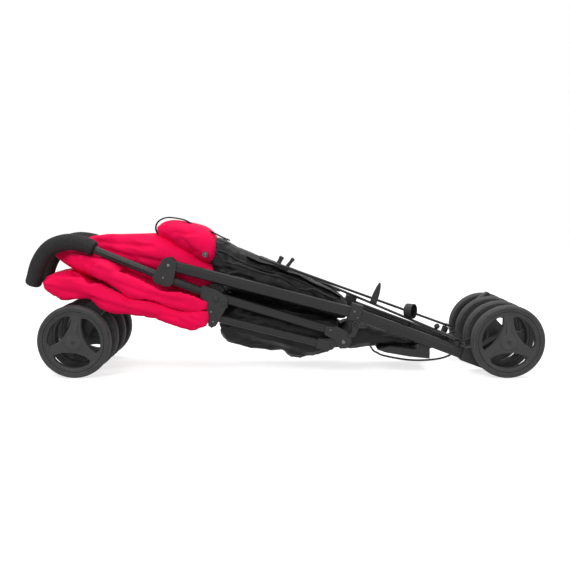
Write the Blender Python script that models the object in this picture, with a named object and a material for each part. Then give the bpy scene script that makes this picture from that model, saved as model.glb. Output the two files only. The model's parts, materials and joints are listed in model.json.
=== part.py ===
"""Folded umbrella pushchair, lying on its eight wheels, in metres.

+X runs from the handle grips to the rear wheels, +Y from the pushchair's left side to its right side,
+Z up from the floor. Each side frame lies in a plane of constant Y; the folded side frames stand close together.
"""

import math

import bmesh
import bpy
from mathutils import Matrix, Vector

# Driving dimensions of the folded package
FRAME_Y = 0.069            # half the distance between the two side frames
SHIFT_X = 0.00775          # brings the middle of the folded length over the origin
GAP = 0.0003               # clearance between pieces that touch

# Wheels
WHEEL_R = 0.075
TYRE_W = 0.026
RIM_R = 0.0625
TWIN_Y = 0.033             # each wheel's middle to the middle of its twin pair
AXLE_R = 0.004
WHEEL_STEPS = 24

# Tubes: height in the side view, width across
HANDLE_SIZE = (0.017, 0.015)
SEAT_TUBE_SIZE = (0.019, 0.015)
REAR_LEG_SIZE = (0.024, 0.015)
FRONT_LEG_SIZE = (0.0165, 0.015)
TUBE_STEPS = 12
GRIP_D = 0.035

# Joints and corners of a side frame, as (x, z) on the folded package
AXLE_REAR = (0.455, WHEEL_R)
AXLE_FRONT = (-0.430, WHEEL_R)
FOLD_PIVOT = (-0.2393, 0.2289)
HANDLE_BEND = (-0.383, 0.2533)
HUB = (-0.1575, 0.1690)
SEAT_TUBE_END = (0.106, 0.0890)
KNEE = (0.1211, 0.0696)
FRONT_LEG_TOP = (0.100, 0.0585)
CASTER_TOP = (-0.355, 0.172)
LEG_BEND = (0.1455, 0.1285)
REAR_LEG_END = (0.425, 0.0235)
CANOPY_PIVOT = (-0.143, 0.175)
STEM_ANGLE = math.radians(220.5)   # the caster stem's downward direction on the folded package
LATCH_PIVOT = (0.1458, 0.1060)
PEDAL_PIVOT = (0.400, 0.083)
PEDAL_PIN_R = 0.0030
LATCH_PIN_R = 0.0032

# Cross braces behind the seat, crossing over the rear legs
BRACE_LOW = (0.372, 0.0735)
BRACE_HIGH = (-0.050, 0.2385)
BRACE_SIZE = (0.006, 0.013)
BRACE_LAYER = 0.0045       # each brace's distance from the middle plane between the two
BRACE_PIN_AT = 0.008       # from the brace's low end to its pivot
BRACE_PIN_R = 0.0020
LEVER_AT = 0.43            # share of the brace's length from its low end to the release lever

SIDES = {"left": -1.0, "right": 1.0}
BLACK = (0.030, 0.030, 0.032)
GREY = (0.055, 0.055, 0.058)
RED = (0.80, 0.010, 0.055)
MATERIALS = {
    "tube_paint": (BLACK, 0.42, 0.6),
    "grip_foam": (GREY, 0.85, 0.0),
    "moulded_plastic": (BLACK, 0.55, 0.0),
    "wheel_plastic": (GREY, 0.5, 0.0),
    "tyre_foam": (GREY, 0.8, 0.0),
    "red_fabric": (RED, 0.8, 0.0),
    "black_fabric": ((0.012, 0.012, 0.013), 0.85, 0.0),
    "steel_wire": ((0.02, 0.02, 0.02), 0.35, 0.9),
}


def clear_scene():
    """Removes whatever the file opened with."""
    for obj in list(bpy.data.objects):
        bpy.data.objects.remove(obj)


def material(slot):
    """The slot's Principled material, made the first time it is asked for."""
    found = bpy.data.materials.get(slot)
    if found:
        return found
    colour, roughness, metallic = MATERIALS[slot]
    made = bpy.data.materials.new(slot)
    made.use_nodes = True
    shader = made.node_tree.nodes["Principled BSDF"]
    shader.inputs["Base Color"].default_value = (*colour, 1.0)
    shader.inputs["Roughness"].default_value = roughness
    shader.inputs["Metallic"].default_value = metallic
    return made


def place(point, y):
    """A side view point (x, z) in space, on the plane at y."""
    return Vector((point[0] + SHIFT_X, y, point[1]))


def node(name, mesh, slot, axis=None, smooth_deg=40):
    """A named object whose origin is moved to axis, a point on its joint or its own middle."""
    made = bmesh.new()
    made.from_mesh(mesh)
    bmesh.ops.recalc_face_normals(made, faces=made.faces)
    made.to_mesh(mesh)
    made.free()
    obj = bpy.data.objects.new(name, mesh)
    bpy.context.scene.collection.objects.link(obj)
    if axis is not None:
        mesh.transform(Matrix.Translation(-axis))
        obj.location = axis
    if slot:
        mesh.materials.append(material(slot))
    mesh.shade_smooth()
    mesh.set_sharp_from_angle(angle=math.radians(smooth_deg))
    return obj


def helper(obj):
    """Marks a cutter or a piece that is joined into another one."""
    obj.hide_render = True
    obj.display_type = "WIRE"
    return obj


def combine(obj, other, operation):
    """An exact Boolean of obj with other, which stays in the file as a helper."""
    modifier = obj.modifiers.new(f"{operation.lower()}_{other.name}", "BOOLEAN")
    modifier.operation = operation
    modifier.solver = "EXACT"
    modifier.object = helper(other)
    return obj


def cut(obj, *others):
    for other in others:
        combine(obj, other, "DIFFERENCE")
    return obj


def join(obj, *others):
    for other in others:
        combine(obj, other, "UNION")
    return obj


def chamfer(obj, width, segments=1):
    modifier = obj.modifiers.new("edges", "BEVEL")
    modifier.width = width
    modifier.segments = segments
    modifier.limit_method = "ANGLE"
    modifier.angle_limit = math.radians(50)
    return obj


def rounded(points, radius, steps=4):
    """A path with each inner corner replaced by an arc of the given radius."""
    path = [points[0]]
    for before, corner, after in zip(points, points[1:], points[2:]):
        into = (before - corner).normalized()
        out = (after - corner).normalized()
        half = into.angle(out) / 2
        reach = min(radius / math.tan(half), (before - corner).length * 0.48, (after - corner).length * 0.48)
        start = corner + into * reach
        end = corner + out * reach
        for step in range(steps + 1):
            share = step / steps
            path.append(start.lerp(corner, share).lerp(corner.lerp(end, share), share))
    path.append(points[-1])
    return path


def swept(name, path, size, slot, steps=TUBE_STEPS, grow=0.0, across=Vector((0, 1, 0)), scale=None, axis=None):
    """An oval section, size (height, width), carried along a path and closed at both ends."""
    height, width = size[0] + 2 * grow, size[1] + 2 * grow
    made = bmesh.new()
    rings = []
    for index, centre in enumerate(path):
        ahead = path[min(index + 1, len(path) - 1)]
        behind = path[max(index - 1, 0)]
        tangent = (ahead - behind).normalized()
        up = tangent.cross(across).normalized()
        side = up.cross(tangent).normalized()
        factor = scale[index] if scale else 1.0
        ring = []
        for step in range(steps):
            turn = 2 * math.pi * (step + 0.5) / steps
            offset = up * (math.cos(turn) * height / 2) + side * (math.sin(turn) * width / 2)
            ring.append(made.verts.new(centre + offset * factor))
        rings.append(ring)
    for first, second in zip(rings, rings[1:]):
        for step in range(steps):
            following = (step + 1) % steps
            made.faces.new((first[step], first[following], second[following], second[step]))
    made.faces.new(rings[0])
    made.faces.new(rings[-1])
    mesh = bpy.data.meshes.new(name)
    made.to_mesh(mesh)
    made.free()
    return node(name, mesh, slot, axis)


def plate(name, outline, y_low, y_high, slot, axis=None):
    """A side view outline, a list of (x, z), extruded from y_low to y_high."""
    made = bmesh.new()
    face = made.faces.new([made.verts.new(place(point, y_low)) for point in outline])
    grown = bmesh.ops.extrude_face_region(made, geom=[face])
    moved = [item for item in grown["geom"] if isinstance(item, bmesh.types.BMVert)]
    bmesh.ops.translate(made, verts=moved, vec=(0, y_high - y_low, 0))
    mesh = bpy.data.meshes.new(name)
    made.to_mesh(mesh)
    made.free()
    return node(name, mesh, slot, axis)


def turned(name, profile, centre, slot, steps=WHEEL_STEPS, direction=Vector((0, 1, 0)), axis=None):
    """A closed profile of (radius, distance along the axis) turned about direction through centre."""
    made = bmesh.new()
    verts = [made.verts.new((radius, 0, along)) for radius, along in profile]
    edges = [made.edges.new((verts[i], verts[(i + 1) % len(verts)])) for i in range(len(verts))]
    bmesh.ops.spin(made, geom=verts + edges, cent=(0, 0, 0), axis=(0, 0, 1), angle=2 * math.pi,
                   steps=steps, use_merge=True)
    bmesh.ops.remove_doubles(made, verts=made.verts, dist=1e-6)
    mesh = bpy.data.meshes.new(name)
    made.to_mesh(mesh)
    made.free()
    turn = Vector((0, 0, 1)).rotation_difference(direction.normalized()).to_matrix().to_4x4()
    mesh.transform(Matrix.Translation(centre) @ turn)
    return node(name, mesh, slot, axis)


def rod(name, centre, radius, low, high, slot, steps=12, direction=Vector((0, 1, 0)), axis=None):
    """A solid cylinder about direction through centre, from low to high along it."""
    made = bmesh.new()
    bmesh.ops.create_cone(made, cap_ends=True, segments=steps, radius1=radius, radius2=radius, depth=high - low)
    mesh = bpy.data.meshes.new(name)
    made.to_mesh(mesh)
    made.free()
    turn = Vector((0, 0, 1)).rotation_difference(direction.normalized()).to_matrix().to_4x4()
    mesh.transform(Matrix.Translation(centre) @ turn @ Matrix.Translation((0, 0, (low + high) / 2)))
    return node(name, mesh, slot, axis)


def arc(centre, radius, start_deg, end_deg, steps):
    """Points (x, z) on an arc, angles counted from +X towards +Z."""
    turns = [math.radians(start_deg + (end_deg - start_deg) * i / steps) for i in range(steps + 1)]
    return [(centre[0] + radius * math.cos(t), centre[1] + radius * math.sin(t)) for t in turns]


def along(start, end, share):
    return (start[0] + (end[0] - start[0]) * share, start[1] + (end[1] - start[1]) * share)


def heading(start, end):
    """The angle of the way from start to end in the side view, in radians."""
    return math.atan2(end[1] - start[1], end[0] - start[0])


def in_frame(origin, angle, points):
    """Side view points given along and across a direction, turned into (x, z)."""
    c, s = math.cos(angle), math.sin(angle)
    return [(origin[0] + u * c - v * s, origin[1] + u * s + v * c) for u, v in points]


def window(name, centre, y, turn_deg):
    """The cutter for one of the three openings between the spokes of a wheel."""
    inner, outer, half_low, half_high = 0.0215, 0.0505, 30.0, 47.0
    low_arc = arc(centre, inner, turn_deg - half_low, turn_deg + half_low, 2)
    high_arc = arc(centre, outer, turn_deg + half_high, turn_deg - half_high, 4)
    return plate(name, low_arc + high_arc, y - 0.02, y + 0.02, None)


def wheel(prefix, axle, y, sign, first_spoke_deg):
    """A three-spoked plastic rim and its foam tyre, side by side in one plane."""
    centre = place(axle, y)
    bore = AXLE_R + 0.0004
    profile = [(bore, -0.012), (0.0155, -0.012), (0.0175, -0.007), (0.0545, -0.007), (0.0565, -0.0105),
               (RIM_R, -0.0105), (RIM_R, 0.0105), (0.0550, 0.004), (bore, 0.004)]
    outward = Vector((0, -sign, 0))
    rim = turned(f"{prefix}_rim", profile, centre, "wheel_plastic", direction=outward, axis=centre)
    for index in range(3):
        turn = first_spoke_deg + 60 + 120 * index
        cut(rim, window(f"{prefix}_window_{index}", axle, y, turn))
    half = TYRE_W / 2
    near_side = [(RIM_R + GAP, -half * 0.86), (WHEEL_R * 0.955, -half), (WHEEL_R, -half * 0.4)]
    tyre_profile = near_side + [(radius, -depth) for radius, depth in reversed(near_side)]
    turned(f"{prefix}_tyre", tyre_profile, centre, "tyre_foam", direction=outward, axis=centre)


def twin_wheels(prefix, axle, side, first_spoke_deg):
    """The outer and inner wheel of one twin pair."""
    sign = SIDES[side]
    wheel(f"{prefix}_wheel_{side}_outer", axle, sign * (FRAME_Y + TWIN_Y), sign, first_spoke_deg)
    wheel(f"{prefix}_wheel_{side}_inner", axle, sign * (FRAME_Y - TWIN_Y), -sign, first_spoke_deg + 25)


def across_axle(name, axle, side, slot="moulded_plastic"):
    """The axle with its hub sleeve, reaching through both wheels of a twin pair."""
    y = SIDES[side] * FRAME_Y
    reach = TWIN_Y + 0.0135
    return rod(name, place(axle, y), AXLE_R, -reach, reach, slot, steps=12)


def tube_path(points, side, ys=None):
    """The centre line of a tube of one side frame."""
    sign = SIDES[side]
    ys = ys or [FRAME_Y] * len(points)
    return [place(point, sign * y) for point, y in zip(points, ys)]


GRIP_POINTS = [HANDLE_BEND, (-0.420, 0.2705), (-0.456, 0.2745), (-0.492, 0.262), (-0.5165, 0.232), (-0.5295, 0.196)]
BEND_Y = 0.050              # the push tubes lean inwards towards the grips
GRIP_YS = [BEND_Y, 0.046, 0.043, 0.040, 0.038, 0.036]


def push_path(side):
    """The push tube's centre line from the hub casting to the end of its hook."""
    points = [HUB, along(HUB, HANDLE_BEND, 0.5), *GRIP_POINTS]
    return rounded(tube_path(points, side, [FRAME_Y, FRAME_Y, *GRIP_YS]), 0.03, 1)


def handle(side):
    """The push tube with its hooked end, and the foam grip over it."""
    path = push_path(side)
    path[-1] = path[-1].lerp(path[-2], 0.12)
    swept(f"handle_tube_{side}", path, HANDLE_SIZE, "tube_paint")
    start = along(HUB, HANDLE_BEND, 0.955)
    grip_path = rounded(tube_path([start, *GRIP_POINTS[1:]], side, GRIP_YS), 0.05, 2)
    tip = grip_path[-1] + (grip_path[-1] - grip_path[-2]).normalized() * 0.006
    grip_path.append(tip)
    scale = [0.86] + [1.0] * (len(grip_path) - 2) + [0.72]
    grip = swept(f"grip_{side}", grip_path, (GRIP_D, GRIP_D), "grip_foam", scale=scale)
    return cut(grip, swept(f"grip_bore_{side}", path, HANDLE_SIZE, None, grow=GAP))


def seat_tube_path(side):
    return tube_path([along(HUB, SEAT_TUBE_END, 0.06), SEAT_TUBE_END], side)


def seat_tube(side):
    return swept(f"seat_tube_{side}", seat_tube_path(side), SEAT_TUBE_SIZE, "tube_paint")


def rear_leg_path(side):
    """The rear leg's centre line, with its one gentle bend."""
    return rounded(tube_path([FOLD_PIVOT, LEG_BEND, REAR_LEG_END], side), 0.25, 4)


def rear_leg_bore(name, side):
    """The cutter that lets a bracket fit round the rear leg."""
    return swept(name, rear_leg_path(side), REAR_LEG_SIZE, None, grow=GAP)


def seat_tube_bore(name, side):
    return swept(name, seat_tube_path(side), SEAT_TUBE_SIZE, None, grow=GAP)


def rear_leg(side):
    """The long leg from the fold pivot to the rear wheels, bent at the leg clamp."""
    pivot = place(FOLD_PIVOT, SIDES[side] * FRAME_Y)
    leg = swept(f"rear_leg_{side}", rear_leg_path(side), REAR_LEG_SIZE, "tube_paint", axis=pivot)
    head_r = REAR_LEG_SIZE[0] / 2 + 0.001
    head = rod(f"rear_leg_head_{side}", pivot, head_r, -0.0068, 0.0068, None, steps=16)
    bore = rod(f"rear_leg_bore_{side}", pivot, AXLE_R + 0.0006, -0.02, 0.02, None)
    return cut(join(leg, head), bore)


def front_leg(side):
    """The leg that folds back under the seat tube towards the handle, straight to its caster."""
    path = tube_path([FRONT_LEG_TOP, along(FRONT_LEG_TOP, CASTER_TOP, 0.975)], side)
    return swept(f"front_leg_{side}", path, FRONT_LEG_SIZE, "tube_paint", axis=place(KNEE, SIDES[side] * FRAME_Y))


def cheek_pair(name, outline, side, inner_half, thick, slot, axis=None):
    """Two like plates, one each side of the tubes, as the walls of a bracket."""
    y = SIDES[side] * FRAME_Y
    low = plate(name, outline, y - inner_half - thick, y - inner_half, slot, axis)
    high = plate(f"{name}_far_wall", outline, y + inner_half, y + inner_half + thick, None)
    return low, high


def fold_bracket(side):
    """The bracket riveted to the push tube, with the rear leg turning between its walls."""
    y = SIDES[side] * FRAME_Y
    turn = heading(HANDLE_BEND, HUB)
    top = FOLD_PIVOT
    low = (-0.2523, 0.2045)
    lobe = 0.0135
    outline = arc(top, 0.0165, 150, -15, 5) + arc((-0.2425, 0.1985), lobe, -25, -110, 3)
    outline += arc((-0.2585, 0.2035), lobe, -115, -190, 3)
    near, far = cheek_pair(f"fold_bracket_{side}", outline, side, 0.0078, 0.0028, "moulded_plastic")
    web_outline = in_frame(low, turn, [(-0.013, -0.0125), (0.015, -0.0125), (0.015, 0.0105), (-0.013, 0.0105)])
    web = plate(f"fold_bracket_web_{side}", web_outline, y - 0.009, y + 0.009, None)
    pin = rod(f"fold_bracket_pin_{side}", place(top, y), AXLE_R, -0.0118, 0.0118, None)
    bore = swept(f"fold_bracket_bore_{side}", push_path(side)[:4], HANDLE_SIZE, None, grow=GAP)
    return cut(join(near, far, web, pin), bore)


def hub_plate(side):
    """The casting that joins the push tube to the seat tube and carries the canopy clip."""
    y = SIDES[side] * FRAME_Y
    outline = [(-0.168, 0.187), (-0.140, 0.178), (-0.118, 0.162), (-0.121, 0.142), (-0.142, 0.104),
               (-0.152, 0.099), (-0.159, 0.104), (-0.160, 0.140), (-0.172, 0.168)]
    outer_low = y + SIDES[side] * 0.0080
    outer = sorted((outer_low, outer_low + SIDES[side] * 0.0034))
    wall = plate(f"hub_plate_{side}", outline, outer[0], outer[1], "moulded_plastic")
    core_outline = [(-0.171, 0.1865), (-0.140, 0.1775), (-0.118, 0.1615), (-0.119, 0.1400),
                    (-0.150, 0.1480), (-0.1745, 0.1620)]
    core = plate(f"hub_core_{side}", core_outline, y - 0.0100, y + 0.0100, None)
    bolt_y = sorted((y, y + SIDES[side] * 0.0130))
    bolts = [rod(f"hub_bolt_{side}_{i}", place(at, 0), 0.0042, bolt_y[0], bolt_y[1], None, steps=10)
             for i, at in enumerate([(-0.143, 0.1585), (-0.127, 0.1495)])]
    path = rounded(tube_path([HUB, along(HUB, HANDLE_BEND, 0.5)], side), 0.03, 2)
    push_bore = swept(f"hub_push_bore_{side}", path, HANDLE_SIZE, None, grow=GAP)
    return cut(join(wall, core, *bolts), push_bore, seat_tube_bore(f"hub_seat_bore_{side}", side))


def knee_fork(side):
    """The upper half of the knee: a socket on the seat tube and two walls around the front leg's knuckle."""
    y = SIDES[side] * FRAME_Y
    outline = [(0.084, 0.1035), (0.108, 0.1000), (0.136, 0.0835), (0.1385, 0.0700), (0.1280, 0.0560),
               (0.1140, 0.0555), (0.1020, 0.0740), (0.082, 0.0850)]
    near, far = cheek_pair(f"knee_fork_{side}", outline, side, 0.0082, 0.0030, "moulded_plastic")
    socket_outline = [(0.084, 0.1030), (0.108, 0.0995), (0.134, 0.0845), (0.1355, 0.0830), (0.118, 0.0845),
                      (0.100, 0.0830), (0.082, 0.0855)]
    socket = plate(f"knee_socket_{side}", socket_outline, y - 0.0095, y + 0.0095, None)
    pin = rod(f"knee_pin_{side}", place(KNEE, y), AXLE_R, -0.0122, 0.0122, None)
    return cut(join(near, far, socket, pin), seat_tube_bore(f"knee_bore_{side}", side))


def knee_knuckle(side):
    """The lower half of the knee: the front leg's end fitting, turning on the knee pin."""
    y = SIDES[side] * FRAME_Y
    turn = heading(FRONT_LEG_TOP, CASTER_TOP)
    centre = place(KNEE, y)
    half = 0.0105
    outline = arc(KNEE, 0.0115, 40, -100, 6) + in_frame(FRONT_LEG_TOP, turn, [(0.026, half), (0.026, -half)])
    outline.append((0.1120, 0.0770))
    body = plate(f"knee_knuckle_{side}", outline, y - 0.0070, y + 0.0070, "moulded_plastic", axis=centre)
    collar_outline = in_frame(FRONT_LEG_TOP, turn, [(0.008, half), (0.008, -half), (0.034, -half), (0.034, half)])
    collar = plate(f"knee_collar_{side}", collar_outline, y - 0.0096, y + 0.0096, None)
    bore = swept(f"knuckle_bore_{side}", tube_path([FRONT_LEG_TOP, CASTER_TOP], side), FRONT_LEG_SIZE, None, grow=GAP)
    pin_bore = rod(f"knuckle_pin_bore_{side}", centre, AXLE_R + 0.0006, -0.03, 0.03, None)
    return cut(join(body, collar), bore, pin_bore)


def stem_point(distance, offset=0.0):
    """A point down the caster stem from its top, and offset across it towards the trailing side."""
    c, s = math.cos(STEM_ANGLE), math.sin(STEM_ANGLE)
    return (CASTER_TOP[0] + distance * c - offset * s, CASTER_TOP[1] + distance * s + offset * c)


def caster_socket(side):
    """The moulded socket at the end of the front leg, which the caster turns in."""
    y = SIDES[side] * FRAME_Y
    down = Vector((math.cos(STEM_ANGLE), 0, math.sin(STEM_ANGLE)))
    top = place(CASTER_TOP, y)
    stem_bore_r = 0.0053
    profile = [(stem_bore_r, -0.006), (0.0125, -0.014), (0.0155, -0.010), (0.0165, 0.036), (stem_bore_r, 0.036)]
    socket = turned(f"caster_socket_{side}", profile, top, "moulded_plastic", steps=16, direction=down)
    sleeve_path = tube_path([CASTER_TOP, along(CASTER_TOP, FRONT_LEG_TOP, 0.085)], side)
    sleeve = swept(f"caster_sleeve_{side}", sleeve_path, (0.0225, 0.0205), None)
    leg_path = tube_path([FRONT_LEG_TOP, along(FRONT_LEG_TOP, CASTER_TOP, 0.975)], side)
    bore = swept(f"caster_leg_bore_{side}", leg_path, FRONT_LEG_SIZE, None, grow=GAP)
    stem_bore = rod(f"caster_stem_bore_{side}", top, stem_bore_r, -0.03, 0.05, None, direction=down)
    return cut(join(socket, sleeve), bore, stem_bore)


def caster_fork(side):
    """The swivelling arm between the front twin wheels, with its stem and the axle pressed through it."""
    y = SIDES[side] * FRAME_Y
    down = Vector((math.cos(STEM_ANGLE), 0, math.sin(STEM_ANGLE)))
    top = place(CASTER_TOP, y)
    outline = [stem_point(0.0375, -0.0160), stem_point(0.0375, 0.0165), stem_point(0.062, 0.0215),
               *arc(AXLE_FRONT, 0.0140, -20, -190, 6), stem_point(0.080, -0.0150), stem_point(0.056, -0.0185)]
    arm = plate(f"caster_fork_{side}", outline, y - 0.0130, y + 0.0130, "moulded_plastic", axis=top)
    stem = rod(f"caster_stem_{side}", top, 0.0048, -0.004, 0.042, None, direction=down)
    return join(arm, stem, across_axle(f"front_axle_{side}", AXLE_FRONT, side))


def rear_housing(side):
    """The moulded foot of the rear leg, with the axle pressed through it between the twin wheels."""
    y = SIDES[side] * FRAME_Y
    turn = heading(LEG_BEND, REAR_LEG_END)
    foot = in_frame(REAR_LEG_END, turn, [(-0.060, -0.0138), (0.006, -0.0138), (0.0145, -0.004)])
    neck = in_frame(REAR_LEG_END, turn, [(-0.028, 0.030), (-0.060, 0.0138)])
    outline = foot + arc(AXLE_REAR, 0.0150, -40, 150, 7) + neck
    body = plate(f"rear_housing_{side}", outline, y - 0.0130, y + 0.0130, "moulded_plastic")
    join(body, across_axle(f"rear_axle_{side}", AXLE_REAR, side))
    if side == "right":
        lugs = arc(PEDAL_PIVOT, 0.0075, -10, 190, 6) + [(0.3890, 0.0560), (0.4110, 0.0590)]
        low = plate("pedal_lug_near", lugs, y - 0.0130, y - 0.0096, None)
        high = plate("pedal_lug_far", lugs, y + 0.0096, y + 0.0130, None)
        pin = rod("pedal_pin", place(PEDAL_PIVOT, y), PEDAL_PIN_R, -0.0125, 0.0125, None, steps=10)
        join(body, low, high, pin)
    return cut(body, rear_leg_bore(f"housing_bore_{side}", side))


def leg_clamp(side):
    """The clamp around the rear leg's bend, with the boss that the transport latch hangs from."""
    y = SIDES[side] * FRAME_Y
    turn = heading(FOLD_PIVOT, REAR_LEG_END)
    outline = in_frame(LEG_BEND, turn, [(-0.0125, -0.0165), (0.0125, -0.0165), (0.0115, 0.0195), (-0.0125, 0.0195)])
    body = plate(f"leg_clamp_{side}", outline, y - 0.0105, y + 0.0105, "moulded_plastic")
    boss_outline = [(0.135, 0.116), (0.157, 0.116), *arc(LATCH_PIVOT, 0.0085, 0, -180, 6)]
    join(body, plate(f"clamp_boss_{side}", boss_outline, y - 0.0080, y + 0.0080, None))
    if side == "left":
        join(body, rod("latch_stud", place(LATCH_PIVOT, y), LATCH_PIN_R, -0.0195, 0.0, None, steps=10))
    return cut(body, rear_leg_bore(f"clamp_bore_{side}", side))


def latch_hook():
    """The transport latch on the left side, a hook that hangs over the knee when the frame is folded."""
    y = -FRAME_Y - 0.0125
    hooked = [(0.1490, 0.0900), (0.1430, 0.0810), (0.1330, 0.0790), (0.1300, 0.0850), (0.1350, 0.0870),
              (0.1390, 0.0920), (0.1385, 0.1020)]
    outline = arc(LATCH_PIVOT, 0.0080, 200, -20, 7) + hooked
    pivot = place(LATCH_PIVOT, -FRAME_Y)
    hook = plate("latch_hook", outline, y - 0.0035, y, "moulded_plastic", axis=pivot)
    return cut(hook, rod("latch_bore", pivot, LATCH_PIN_R + 0.0005, -0.03, 0.0, None, steps=10))


def brace_plane():
    """The plane between the two braces: its low end, its high end and its upward normal."""
    low, high = place(BRACE_LOW, 0), place(BRACE_HIGH, 0)
    normal = Vector((0, 1, 0)).cross(high - low).normalized()
    return low, high, normal if normal.z > 0 else -normal


def cross_brace(side):
    """A flat brace from the foot of one rear leg to the upper end of the other."""
    sign = SIDES[side]
    low, high, normal = brace_plane()
    layer = normal * (BRACE_LAYER if side == "right" else -BRACE_LAYER)
    start = low + Vector((0, sign * FRAME_Y, 0)) + layer
    end = high + Vector((0, -sign * FRAME_Y, 0)) + layer
    way = (end - start).normalized()
    across = normal.cross(way).normalized()
    path = [start - way * 0.004, start + way * 0.02, end - way * 0.02, end + way * 0.004]
    bar = swept(f"cross_brace_{side}", path, BRACE_SIZE, "tube_paint", steps=10, across=across,
                scale=[0.9, 1, 1, 0.9], axis=start)
    bore = rod(f"brace_bore_{side}", start + way * BRACE_PIN_AT, BRACE_PIN_R + 0.0006, -0.02, 0.02, None, steps=10,
               direction=normal)
    return cut(bar, bore)


def brace_mount(side):
    """The lug on top of the rear leg that carries the brace's lower pivot pin."""
    sign = SIDES[side]
    low, high, normal = brace_plane()
    layer = BRACE_LAYER if side == "right" else -BRACE_LAYER
    pivot = low + Vector((0, sign * FRAME_Y, 0))
    end = high + Vector((0, -sign * FRAME_Y, 0))
    way = (end - pivot).normalized()
    at = pivot + way * BRACE_PIN_AT
    seat = layer - BRACE_SIZE[0] / 2 - 0.0008
    base = rod(f"brace_mount_{side}", at, 0.0072, -0.0185, seat, "moulded_plastic", steps=14, direction=normal)
    pin = rod(f"brace_pin_{side}", at, BRACE_PIN_R, -0.0120, layer + 0.0042, None, steps=10, direction=normal)
    return cut(join(base, pin), rear_leg_bore(f"mount_bore_{side}", side))


def pillow(name, outline, half_left, half_right, slot, axis=None):
    """A stuffed or folded fabric form: a side view outline with swelling sides, thicker towards one end.

    half_left and half_right are half its thickness across, at its lowest and at its highest x.
    """
    low_x = min(point[0] for point in outline)
    high_x = max(point[0] for point in outline)
    mid = Vector((sum(p[0] for p in outline), sum(p[1] for p in outline))) / len(outline)
    layers = ((-1.0, 0.80), (-0.72, 0.95), (0.0, 1.0), (0.72, 0.95), (1.0, 0.80))
    made = bmesh.new()
    loops = []
    for height, shrink in layers:
        loop = []
        for x, z in outline:
            share = (x - low_x) / (high_x - low_x)
            half = half_left + (half_right - half_left) * share
            at = (mid.x + (x - mid.x) * shrink, mid.y + (z - mid.y) * shrink)
            loop.append(made.verts.new(place(at, height * half)))
        loops.append(loop)
    for first, second in zip(loops, loops[1:]):
        for index in range(len(outline)):
            following = (index + 1) % len(outline)
            made.faces.new((first[index], first[following], second[following], second[index]))
    made.faces.new(loops[0])
    made.faces.new(loops[-1])
    mesh = bpy.data.meshes.new(name)
    made.to_mesh(mesh)
    made.free()
    return node(name, mesh, slot, axis)


CANOPY_TOP = [
    (-0.413, 0.277), (-0.377, 0.282), (-0.325, 0.284), (-0.290, 0.285), (-0.262, 0.2845), (-0.240, 0.2745),
    (-0.214, 0.2575), (-0.190, 0.239), (-0.166, 0.2275), (-0.151, 0.2245), (-0.149, 0.181), (-0.165, 0.171),
    (-0.190, 0.177), (-0.222, 0.191), (-0.253, 0.210), (-0.315, 0.244), (-0.371, 0.2665), (-0.396, 0.274)]
CANOPY_REAR = [
    (-0.476, 0.236), (-0.447, 0.238), (-0.397, 0.232), (-0.326, 0.212), (-0.253, 0.186), (-0.180, 0.158),
    (-0.166, 0.142), (-0.182, 0.128), (-0.212, 0.132), (-0.273, 0.147), (-0.330, 0.162), (-0.384, 0.186),
    (-0.427, 0.211), (-0.461, 0.222)]
CANOPY_FRONT = [
    (-0.508, 0.190), (-0.497, 0.203), (-0.466, 0.207), (-0.423, 0.206), (-0.374, 0.180), (-0.330, 0.156),
    (-0.273, 0.141), (-0.212, 0.126), (-0.174, 0.120), (-0.164, 0.105), (-0.174, 0.088), (-0.202, 0.081),
    (-0.240, 0.090), (-0.286, 0.105), (-0.333, 0.118), (-0.368, 0.138), (-0.400, 0.154), (-0.446, 0.160),
    (-0.492, 0.168)]
HEAD_FLAP = [
    (-0.266, 0.298), (-0.261, 0.313), (-0.236, 0.317), (-0.199, 0.310), (-0.169, 0.302), (-0.152, 0.283),
    (-0.148, 0.260), (-0.149, 0.231), (-0.168, 0.233), (-0.193, 0.246), (-0.218, 0.265), (-0.245, 0.283)]
SEAT_BACK = [
    (-0.142, 0.276), (-0.099, 0.252), (-0.048, 0.230), (0.011, 0.206), (0.057, 0.180), (0.112, 0.156),
    (0.126, 0.143), (0.122, 0.118), (0.070, 0.130), (0.011, 0.143), (-0.049, 0.158), (-0.112, 0.178),
    (-0.143, 0.192)]
SEAT_PAD = [
    (-0.130, 0.146), (-0.108, 0.160), (-0.049, 0.144), (0.011, 0.129), (0.070, 0.115), (0.104, 0.101),
    (0.100, 0.070), (0.096, 0.044), (0.058, 0.032), (0.013, 0.029), (-0.004, 0.044), (-0.049, 0.047),
    (-0.096, 0.055), (-0.121, 0.066), (-0.132, 0.086)]
CANOPY_NOSE = [
    (-0.494, 0.190), (-0.484, 0.2065), (-0.462, 0.2080), (-0.440, 0.2065), (-0.424, 0.201), (-0.410, 0.192),
    (-0.404, 0.178), (-0.430, 0.170), (-0.470, 0.170), (-0.487, 0.178)]
CANOPY_SIDE = [
    (-0.494, 0.190), (-0.484, 0.2105), (-0.451, 0.2125), (-0.413, 0.211), (-0.402, 0.196), (-0.362, 0.183),
    (-0.318, 0.166), (-0.259, 0.154), (-0.215, 0.168), (-0.176, 0.160), (-0.1645, 0.1405), (-0.1625, 0.108),
    (-0.168, 0.0985), (-0.198, 0.092), (-0.240, 0.103), (-0.270, 0.1135), (-0.319, 0.122), (-0.354, 0.1265),
    (-0.383, 0.1365), (-0.403, 0.152), (-0.4525, 0.1545), (-0.467, 0.1635), (-0.489, 0.177)]
BASKET = [
    (0.124, 0.100), (0.163, 0.101), (0.191, 0.089), (0.234, 0.076), (0.283, 0.061), (0.286, 0.056),
    (0.245, 0.0585), (0.215, 0.0580), (0.170, 0.050), (0.140, 0.047), (0.122, 0.055), (0.118, 0.078)]
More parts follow.
